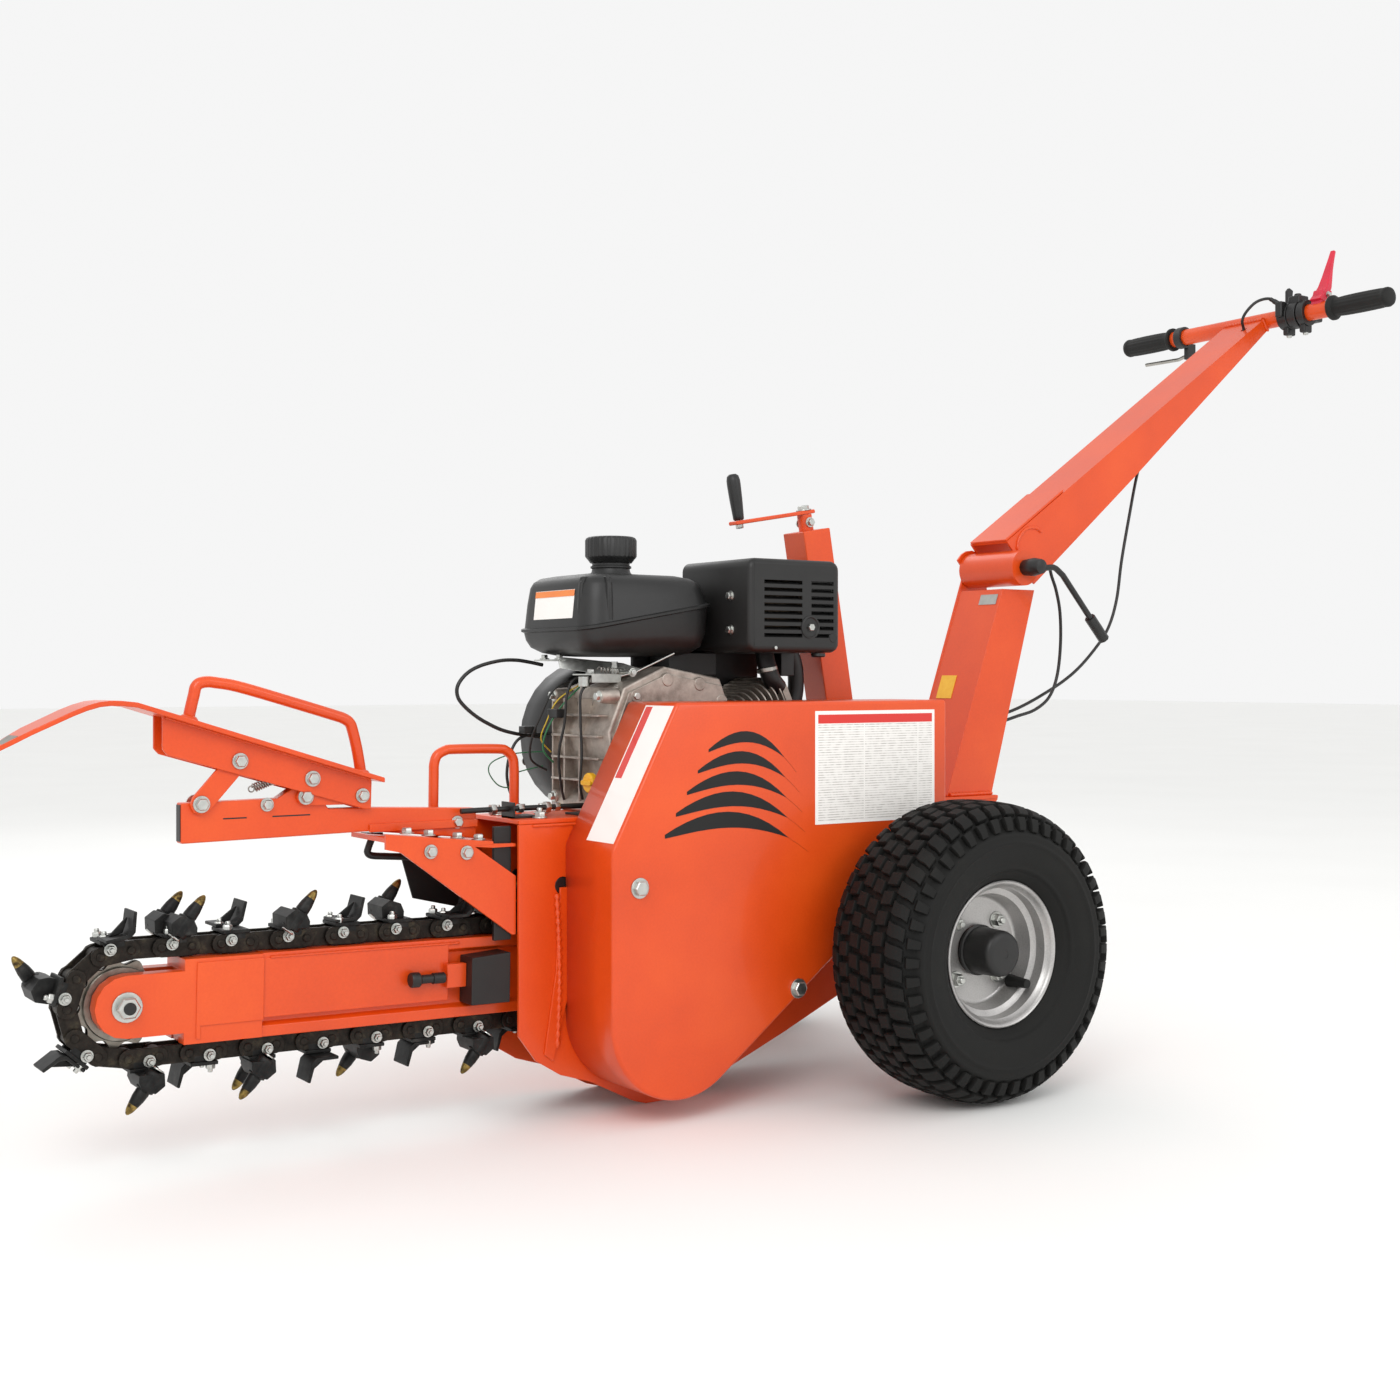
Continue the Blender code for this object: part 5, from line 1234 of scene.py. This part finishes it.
loft(bm, [round_corner_ring(lambda a, b: at(s, -0.03 + a, 0.432 + b), (-0.0128, -0.0032), (0.0128, 0.0032),
                            0.0028)
          for s in (-0.456, -0.4604)])
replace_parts(shown("dipstick_grip", bm, yellow, "oil_cap", 0.0006), "oil_filler")

# ---------------------------------------------------------------- fuel tank
# A blow-moulded tank in two shells met at a sloping flange, with ribs at its corner, a filler
# neck, a fluted screw cap and a blank film on its end.


def tank_ring(inset, z_front, z_back, corner):
    """A level of the tank: a rounded plan, drawn in from the widest, level with its two ends' heights."""
    x0, x1, y0, y1 = -0.4745 + inset, -0.2615 - inset, -0.0585 + inset, 0.1455 - inset

    def place(x, y):
        return at(x, y, z_front + (z_back - z_front) * (x - x0) / (x1 - x0))

    return round_corner_ring(place, (x0, y0), (x1, y1), corner, steps=6)


bm = bmesh.new()
levels = [(0.058, 0.602, 0.602, 0.02), (0.04, 0.603, 0.6025, 0.026), (0.022, 0.6075, 0.606, 0.03),
          (0.01, 0.615, 0.616, 0.032), (0.005, 0.625, 0.635, 0.032), (0.003, 0.635, 0.672, 0.032),
          (0.0, 0.6365, 0.6735, 0.032), (0.0, 0.64, 0.6765, 0.032), (0.004, 0.6415, 0.678, 0.031),
          (0.007, 0.675, 0.69, 0.03), (0.01, 0.698, 0.698, 0.03), (0.014, 0.706, 0.7045, 0.028),
          (0.022, 0.7115, 0.71, 0.025), (0.038, 0.7145, 0.714, 0.02), (0.06, 0.7155, 0.7155, 0.016)]
loft(bm, [tank_ring(*level) for level in levels])
spun(bm, at(-0.38, 0.035, 0.712), UP, [(0.031, 0.0), (0.029, 0.005), (0.027, 0.008), (0.0262, 0.012),
                                       (0.0285, 0.013), (0.0285, 0.0155), (0.0262, 0.0165),
                                       (0.0262, 0.0195)], 36)
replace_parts(shown("tank_shells", bm, moulded, "frame", smooth=50), "fuel_tank")
bm = bmesh.new()
# Ribs that stand on the corner, one on each side of it
for x, y, nx, ny in ((-0.464, -0.024, -1, 0), (-0.435, -0.05, 0, -1)):
    across = Vector((-ny, nx, 0)) * 0.0045
    out = Vector((nx, ny, 0))
    rings = []
    for z, stand, wide in ((0.644, 0.004, 1.5), (0.66, 0.0046, 1.2), (0.69, 0.003, 0.95),
                           (0.701, 0.001, 0.85), (0.7085, -0.005, 0.8)):
        spot = at(x, y, z)
        rings.append([spot + across * wide + out * stand * 0.4, spot + across * 0.5 * wide + out * stand,
                      spot - across * 0.5 * wide + out * stand, spot - across * wide + out * stand * 0.4,
                      spot - across * wide - out * 0.012, spot + across * wide - out * 0.012])
    loft(bm, rings)
shown("tank_ribs", bm, moulded, "frame", 0.0012, smooth=60)

# Tank film: white vinyl under a band printed orange, left blank
orange_print = weathered("orange_printed_vinyl", None, [(30, 2)], ("E8741E", "F28A2E"), roughness=0.32,
                         ior=1.46, coat_weight=0.3)
for name, low, high, finish, out in (("tank_film", 0.653, 0.692, backing, 0.0004),
                                     ("tank_film_band", 0.683, 0.6915, orange_print, 0.0007)):
    bm = bmesh.new()
    face = []
    for y in (0.094, -0.012):
        for z in ((low, high) if y > 0 else (high, low)):
            share = (z - 0.6415) / (0.675 - 0.6415)
            inset = 0.004 + 0.003 * share if share < 1 else 0.007 + 0.003 * (z - 0.675) / 0.023
            face.append(at(-0.4745 + inset - out, y, z))
    bm.faces.new([bm.verts.new(p) for p in face])
    shown(name, bm, finish, "frame")

bm = bmesh.new()
CAP = at(-0.38, 0.035, 0.7155)
CAP_FLUTES, FLUTE_DEEP = 30, 0.0011
rings = []
for r, h, flute in ((0.029, 0.0168, 0), (0.0325, 0.0215, 0), (0.0352, 0.0245, 0), (0.036, 0.0262, 1),
                    (0.036, 0.048, 1), (0.0345, 0.0512, 0.5), (0.0315, 0.0528, 0), (0.029, 0.053, 0),
                    (0.028, 0.0516, 0), (0.01, 0.0512, 0)):
    ring = []
    for k in range(120):
        a = 2 * pi * k / 120
        rim = r - FLUTE_DEEP * flute * (0.5 + 0.5 * cos(CAP_FLUTES * a))
        ring.append(CAP + Vector((rim * cos(a), rim * sin(a), h)))
    rings.append(ring)
loft(bm, rings)
brick(bm, (-0.405, 0.031, 0.766), (-0.355, 0.039, 0.7681))
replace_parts(shown("fuel_cap_moulding", bm, moulded, "cap", smooth=40), "fuel_cap")

# ---------------------------------------------------------------- muffler and its guard
# A round steel muffler under a black sheet-steel guard with two columns of pressed slots.

GUARD_LOW, GUARD_HIGH = (-0.2535, 0.608), (-0.095, 0.737)
bm = bmesh.new()
rings = [round_corner_ring(lambda a, b: at(a, s, b), (GUARD_LOW[0] + c, GUARD_LOW[1] + c),
                           (GUARD_HIGH[0] - c, GUARD_HIGH[1] - c), 0.013 - c * 0.6)
         for s, c in ((0.044, 0), (-0.112, 0), (-0.1165, 0.0015), (-0.119, 0.0045), (-0.12, 0.0085),
                      (-0.118, 0.009), (-0.1172, 0.006), (-0.115, 0.0032), (-0.111, 0.0018), (0.044, 0.0018))]
loft(bm, rings, looped=True)
slot_rows = [(0.6285 + 0.0105 * i, 0.634 + 0.0105 * i) for i in range(8)]
levels = [GUARD_LOW[1] + 0.008] + [z for row in slot_rows for z in row] + [GUARD_HIGH[1] - 0.008]
columns = [GUARD_LOW[0] + 0.008, -0.229, -0.163, -0.147, -0.1075, GUARD_HIGH[0] - 0.008]
for y in (-0.12, -0.1182):
    grid = [[bm.verts.new(at(x, y, z)) for x in columns] for z in levels]
    for i in range(len(levels) - 1):
        for k in range(len(columns) - 1):
            if i % 2 == 1 and k in (1, 3):
                continue
            bm.faces.new((grid[i][k], grid[i][k + 1], grid[i + 1][k + 1], grid[i + 1][k]))
# The slots' lower lips are pressed inwards
for low, _ in reversed(slot_rows):
    for x0, x1 in ((-0.229, -0.163), (-0.147, -0.1075)):
        loft(bm, [[at(x, -0.1196, low + 0.0002), at(x, -0.1184, low - 0.0002), at(x, -0.111, low + 0.003),
                   at(x, -0.1116, low + 0.004)] for x in (x0, x1)])
spun(bm, at(-0.149, -0.119, 0.643), NEAR, [(0.0165, 0), (0.016, 0.002), (0.014, 0.0026), (0.0128, 0.0012)],
     32)
spun(bm, at(-0.108, -0.119, 0.629), NEAR, [(0.0075, 0), (0.0065, 0.0016)], 20)
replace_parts(shown("guard_sheet", bm, black_steel, "frame", smooth=42), "muffler_guard")
bm = bmesh.new()
hex_head(bm, at(-0.149, -0.1205, 0.643), NEAR, 0.0095, 0.0045, washer=False)
for y, z in ((-0.076, 0.686), (-0.076, 0.639)):
    hex_head(bm, at(-0.253, y, z), AHEAD, 0.009, 0.0055)
hex_head(bm, at(-0.21, -0.1198, 0.614), NEAR, 0.005, 0.002, washer=False)
shown("muffler_screws", bm, zinc, "frame", 0.0003)
bm = bmesh.new()
spun(bm, at(-0.096, -0.09, 0.648), BACK, [(0.006, 0), (0.006, 0.004), (0.0105, 0.005), (0.011, 0.012),
                                          (0.009, 0.014)], 12)
spun(bm, at(-0.124, -0.106, 0.6075), DOWN, [(0.01, 0), (0.0105, 0.004), (0.009, 0.006)], 12)
shown("choke_knobs", bm, moulded, "frame", 0.0008)

# Muffler shell: heat-tinted steel, straw to brown where the exhaust is hottest
burnt = weathered("heat_tinted_steel", "bare_steel", [(45, 5, 0.6)], ("2C2622", "574A3F", "7B7168"),
                  [0.3, 0.52, 0.8], gloss=(0.36, 0.66), metallic=1.0, roughness=0.5)
dressed("muffler", burnt, 0.002, smooth=50)
bm = bmesh.new()
loft(bm, [round_corner_ring(lambda a, b: at(a, s, b), (-0.25, 0.612), (-0.11, 0.706), c)
          for s, c in ((0.06, 0.014), (0.164, 0.014), (0.178, 0.02), (0.19, 0.026))])
spun(bm, at(-0.18, 0.189, 0.659), FAR, [(0.018, 0), (0.017, 0.0009), (0.01, 0.001)], 24)
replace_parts(shown("air_cleaner_cover", bm, moulded, "frame", 0.0015, smooth=50), "air_cleaner")

# ---------------------------------------------------------------- governor linkage and wiring
# A plated bracket under the tank holds the governor lever, its spring and the cable stop. The
# ignition's wires hang in a taped bundle down the front of the block.

bm = bmesh.new()
loft(bm, [[at(-0.456, 0.05 + t, 0.601), at(-0.445, 0.052 + t, 0.601), at(-0.382, 0.0 + t, 0.593),
           at(-0.34, -0.012 + t, 0.579), at(-0.34, -0.012 + t, 0.57), at(-0.395, 0.0 + t, 0.574),
           at(-0.456, 0.044 + t, 0.586)] for t in (0, 0.0022)])
brick(bm, (-0.458, 0.048, 0.596), (-0.42, 0.115, 0.5982))
brick(bm, (-0.442, -0.015, 0.576), (-0.35, 0.035, 0.5782))
brick(bm, (-0.442, -0.0172, 0.566), (-0.396, -0.015, 0.5782))
tube(bm, [at(-0.417, -0.05, 0.575), at(-0.396, -0.053, 0.58), at(-0.336, -0.058, 0.606)], 0.0013, 8)
tube(bm, [at(-0.4, -0.02, 0.58), at(-0.4, -0.052, 0.58)], 0.0026, 10)
tube(bm, [at(-0.39, 0.01, 0.578), at(-0.39, 0.01, 0.595)], 0.005, 12)
shown("governor_bracket", bm, zinc, "frame", 0.0004)


def helix(start, end, across, lift, radius, count):
    """Points round a coil between two points, fourteen to a turn."""
    route = []
    for i in range(count):
        a = i * 2 * pi / 14
        swing = Vector(across) * cos(a) + Vector(lift) * sin(a)
        route.append(start.lerp(end, i / (count - 1)) + swing * radius)
    return route


bm = bmesh.new()
tube(bm, helix(at(-0.433, -0.02, 0.584), at(-0.378, -0.02, 0.58), FAR, UP, 0.0036, 150), 0.0006, 6)
tube(bm, helix(at(-0.418, -0.042, 0.562), at(-0.418, -0.042, 0.532), BACK, FAR, 0.0032, 130), 0.0006, 6)
shown("governor_springs", bm, bright, "frame", smooth=60)
bm = bmesh.new()
for x, y, z in ((-0.448, 0.06, 0.5982), (-0.448, 0.102, 0.5982), (-0.365, 0.015, 0.5782),
                (-0.425, 0.015, 0.5782)):
    hex_head(bm, at(x, y, z), UP, 0.009, 0.005)
hex_head(bm, at(-0.4, -0.052, 0.58), NEAR, 0.008, 0.004)
spun(bm, at(-0.448, -0.006, 0.56), UP, [(0.006, 0.0), (0.0075, 0.001), (0.0075, 0.014), (0.006, 0.015)], 20)
shown("governor_bolts", bm, zinc, "frame", 0.0003)

# Wire insulation: thin PVC in three colours, a little dusty
wire_finish = {}
for colour, dark, light in (("black", "101010", "232322"), ("green", "1F5A38", "2F7C4E"),
                            ("yellow", "B99A1E", "D8B933")):
    wire_finish[colour] = weathered(colour + "_wire_pvc", "rubber", [(8, 3)], (dark, light),
                                    gloss=(0.38, 0.58), roughness=0.45, ior=1.53)

# Each lead: name, colour, thickness, and where it runs between its two terminals
leads = [
    ("coil_lead", "black", 0.0019, [(-0.42, 0.026, 0.578), (-0.446, 0.024, 0.57), (-0.458, 0.023, 0.548),
                                    (-0.46, 0.026, 0.51), (-0.464, 0.034, 0.47), (-0.458, 0.04, 0.43),
                                    (-0.45, 0.044, 0.405)]),
    ("sensor_lead", "black", 0.0019, [(-0.422, -0.006, 0.57), (-0.452, -0.008, 0.556), (-0.456, -0.01, 0.52),
                                      (-0.454, -0.01, 0.47), (-0.454, -0.006, 0.43),
                                      (-0.448, -0.002, 0.408)]),
    ("lamp_lead", "black", 0.0017, [(-0.43, 0.05, 0.57), (-0.462, 0.052, 0.556), (-0.478, 0.06, 0.52),
                                    (-0.486, 0.07, 0.49), (-0.482, 0.08, 0.46), (-0.456, 0.082, 0.444)]),
    ("stop_lead", "green", 0.0013, [(-0.43, 0.036, 0.56), (-0.458, 0.04, 0.532), (-0.474, 0.05, 0.5),
                                    (-0.476, 0.056, 0.474), (-0.458, 0.06, 0.456)]),
    ("charge_lead", "yellow", 0.001, [(-0.424, 0.042, 0.564), (-0.46, 0.044, 0.542), (-0.472, 0.056, 0.51),
                                       (-0.476, 0.062, 0.488), (-0.456, 0.07, 0.47)]),
    ("earth_lead", "black", 0.0022, [(-0.448, 0.088, 0.495), (-0.49, 0.09, 0.491), (-0.508, 0.09, 0.47),
                                     (-0.514, 0.09, 0.438), (-0.506, 0.09, 0.408), (-0.492, 0.09, 0.3945)]),
    ("lamp_tail", "green", 0.0009, [(-0.46, 0.086, 0.47), (-0.506, 0.086, 0.468), (-0.538, 0.086, 0.458),
                                    (-0.544, 0.086, 0.444), (-0.53, 0.086, 0.426), (-0.512, 0.086, 0.423),
                                    (-0.506, 0.086, 0.44), (-0.46, 0.086, 0.45)]),
]
for name, colour, thick, points in leads:
    bm = bmesh.new()
    tube(bm, smooth_route([at(*p) for p in points], 60), thick, 8)
    shown(name, bm, wire_finish[colour], "frame", smooth=60)
bm = bmesh.new()
brick(bm, (-0.47, 0.03, 0.518), (-0.454, 0.056, 0.53))
brick(bm, (-0.498, 0.07, 0.496), (-0.478, 0.086, 0.506))
shown("wire_connectors", bm, moulded, "frame", 0.001)
bm = bmesh.new()
spun(bm, at(-0.491, 0.09, 0.39), UP, [(0.005, 0.0), (0.005, 0.0015), (0.003, 0.002), (0.003, 0.007)], 16)
hex_head(bm, at(-0.491, 0.09, 0.3915), UP, 0.01, 0.005)
shown("earth_terminal", bm, zinc, "frame", 0.0002)

# ---------------------------------------------------------------- crumber
# The trench cleaner's arm is a folded channel bolted to a brace on the chassis. Two links and a
# coil spring carry a bent steel blade with a bar handle, so that it lifts and folds forward.

for node, softened in (("crumber_arm", 0.0018), ("arm_brace", 0.001), ("front_link", 0.001),
                       ("rear_link", 0.001)):
    dressed(node, orange, softened)
dressed("soil_shield", black_steel, 0.0008)

PIN_A, PIN_B, PIN_C, PIN_D = (-0.976, 0.424), (-0.931, 0.474), (-0.775, 0.427), (-0.847, 0.428)
# The blade: its top edge from the side, from the tip to its tail, and its half width there
blade_line = [(-1.203, 0.497, 0.012), (-1.19, 0.505, 0.024), (-1.17, 0.516, 0.03), (-1.127, 0.536, 0.0335),
              (-1.112, 0.542, 0.034), (-1.098, 0.546, 0.034), (-1.086, 0.5472, 0.034), (-1.074, 0.547, 0.034),
              (-1.056, 0.545, 0.034), (-0.954, 0.5129, 0.034), (-0.853, 0.4811, 0.034),
              (-0.751, 0.449, 0.034)]
BLADE_THICK = 0.0062
bm = bmesh.new()
loft(bm, [[at(x, -half, z), at(x, half, z), at(x, half, z - BLADE_THICK), at(x, -half, z - BLADE_THICK)]
          for x, z, half in blade_line])
for side in (-1, 1):
    y0, y1 = sorted((side * 0.015, side * 0.019))
    flange = [(-1.023, 0.529), (-1.023, 0.4896), (-1.017, 0.483), (-0.77, 0.4096), (-0.763, 0.41),
              (-0.762, 0.446)]
    prism(bm, flange, y0, y1)
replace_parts(shown("blade_plate", bm, orange, "crumber", 0.0012), "crumber_blade")
bm = bmesh.new()
# A stiffener is stitched along the top, and weld beads run beside the channel under it
for side in (-1, 1):
    weld(bm, lambda t: at(-1.02 + 0.255 * t, side * 0.02, 0.5268 - 0.0802 * t), 91, 0.0016, 0.0005, 1.9, 6)
for x, z in ((-0.986, 0.524), (-0.768, 0.454)):
    spun(bm, at(x, 0, z), (0.3, 0, 1), [(0.0115, 0), (0.0105, 0.002), (0.0078, 0.0046)], 20)
shown("blade_welds", bm, orange, "crumber", smooth=60)
# The blade's underside is scraped bare by earth near its tip
bm = bmesh.new()
loft(bm, [[at(x, -half * 0.92, z + lift), at(x, half * 0.92, z + lift), at(x, half * 0.92, z + lift + 0.0003),
           at(x, -half * 0.92, z + lift + 0.0003)]
          for x, z, half, lift in ((-1.199, 0.4992, 0.015, 0.0001), (-1.184, 0.5083, 0.024, 0.0001))])
shown("blade_worn_tip", bm, steel, "crumber")

handle_route = [(-0.986, 0.523), (-0.985, 0.532), (-0.98, 0.553), (-0.978, 0.5615), (-0.973, 0.5665),
                (-0.964, 0.5682), (-0.954, 0.5672), (-0.925, 0.562), (-0.855, 0.5418), (-0.805, 0.5268),
                (-0.792, 0.5224), (-0.784, 0.517), (-0.78, 0.508), (-0.774, 0.484), (-0.769, 0.456)]
bm = bmesh.new()
tube(bm, smooth_route([at(x, 0, z) for x, z in handle_route], 90), 0.007, 20)
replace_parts(shown("crumber_bar_handle", bm, orange, "crumber", smooth=60), "crumber_handle")

# Pins and bolts of the linkage, and those that fix the arm to its brace
bm = bmesh.new()
for (x, z), y, body_across in ((PIN_A, -0.0148, 0.0135), (PIN_D, -0.0148, 0.013), (PIN_C, -0.0195, 0.012)):
    hex_head(bm, at(x, y, z), NEAR, body_across, 0.006)
    hex_head(bm, at(x, 0.0095 if (x, z) != PIN_C else 0.0195, z), FAR, body_across, 0.006)
for x, z in ((-0.894, 0.42), (-0.64, 0.387)):
    hex_head(bm, at(x, -0.0092, z), NEAR, 0.011, 0.0055)
for x, z in ((-0.7, 0.356), (-0.65, 0.352)):
    hex_head(bm, at(x, -0.0562, z), NEAR, 0.012, 0.006)
for x in (-0.72, -0.69, -0.65, -0.62):
    hex_head(bm, at(x, 0.028, 0.364 + (-0.62 - x) * 0.135), UP, 0.012, 0.006)
    hex_head(bm, at(x, -0.03, 0.364 + (-0.62 - x) * 0.135), UP, 0.012, 0.006)
shown("linkage_bolts", bm, zinc, "frame", 0.0004)
bm = bmesh.new()
for (x, z), out in ((PIN_B, 0.0195), ((-0.84, 0.45), 0.0192)):
    for side in (-1, 1):
        hex_head(bm, at(x, side * out, z), (0, side, 0), 0.013, 0.006)
shown("blade_pin_heads", bm, zinc, "crumber", 0.0004)

# The arm's open end: a thin black plate across it, painted shade for the hollow of the folded channel
bm = bmesh.new()
brick(bm, (-0.999, -0.0065, 0.3805), (-0.9972, 0.0065, 0.4235))
# and two thin black strips under the ears that carry the links, painted shadow lines
for x0, x1 in ((-0.948, -0.919), (-0.887, -0.839)):
    brick(bm, (x0, -0.0092, 0.4046), (x1, -0.0085, 0.4062))
shown("arm_end_painted_shade", bm, black_steel, "frame")
bm = bmesh.new()
brick(bm, (-0.762, -0.013, 0.38), (-0.612, -0.009, 0.39))
shown("arm_folds", bm, orange, "frame", 0.0008)

# Return spring: closely coiled 2 mm wire with a loop at each end
bm = bmesh.new()
low_end, high_end = at(-0.911, 0.0075, 0.437), at(-0.854, 0.0075, 0.458)
ahead = (high_end - low_end).normalized()
lift = ahead.cross(Vector(FAR))
WIRE, COIL_R, COIL_POINTS, HOOK_LONG = 0.0009, 0.005, 211, 0.007
for end, way in ((low_end, 1), (high_end, -1)):
    hook = [end + ahead * way * (0.004 - 0.0036 * cos(radians(30 * k))) + lift * 0.0036 * sin(radians(30 * k))
            for k in range(13)]
    tube(bm, hook, WIRE, 6)
coil_ends = low_end + ahead * HOOK_LONG, high_end - ahead * HOOK_LONG
tube(bm, helix(*coil_ends, FAR, lift, COIL_R, COIL_POINTS), WIRE, 6)
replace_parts(shown("return_spring", bm, bright, "frame", smooth=60), "crumber_spring")

# Second hand loop: a bent bar welded upright on the deck, and a black hook rod beside the arm
loop_route = [(-0.65, 0.364), (-0.6498, 0.39), (-0.649, 0.445), (-0.6484, 0.46), (-0.644, 0.471),
              (-0.633, 0.477), (-0.62, 0.4786), (-0.556, 0.4776), (-0.542, 0.4745), (-0.533, 0.466),
              (-0.5302, 0.452), (-0.53, 0.41), (-0.53, 0.388)]
bm = bmesh.new()
tube(bm, smooth_route([at(x, 0.04, z) for x, z in loop_route], 90), 0.0066, 20)
for x, z in ((-0.65, 0.366), (-0.53, 0.3895)):
    spun(bm, at(x, 0.04, z), UP, [(0.011, 0), (0.01, 0.002), (0.007, 0.0045)], 20)
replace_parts(shown("deck_hand_loop", bm, orange, "frame", smooth=60), "tie_loop")
bm = bmesh.new()
hook = [(-0.736, 0.033, 0.374), (-0.74, 0.033, 0.366), (-0.744, 0.033, 0.356), (-0.745, 0.033, 0.35),
        (-0.739, 0.033, 0.346), (-0.72, 0.033, 0.344), (-0.695, 0.033, 0.342), (-0.672, 0.036, 0.34),
        (-0.66, 0.048, 0.339)]
tube(bm, smooth_route([at(*p) for p in hook], 50), 0.0046, 14)
brick(bm, (-0.748, 0.028, 0.369), (-0.726, 0.048, 0.3752))
shown("hook_rod", bm, black_steel, "frame", smooth=60)
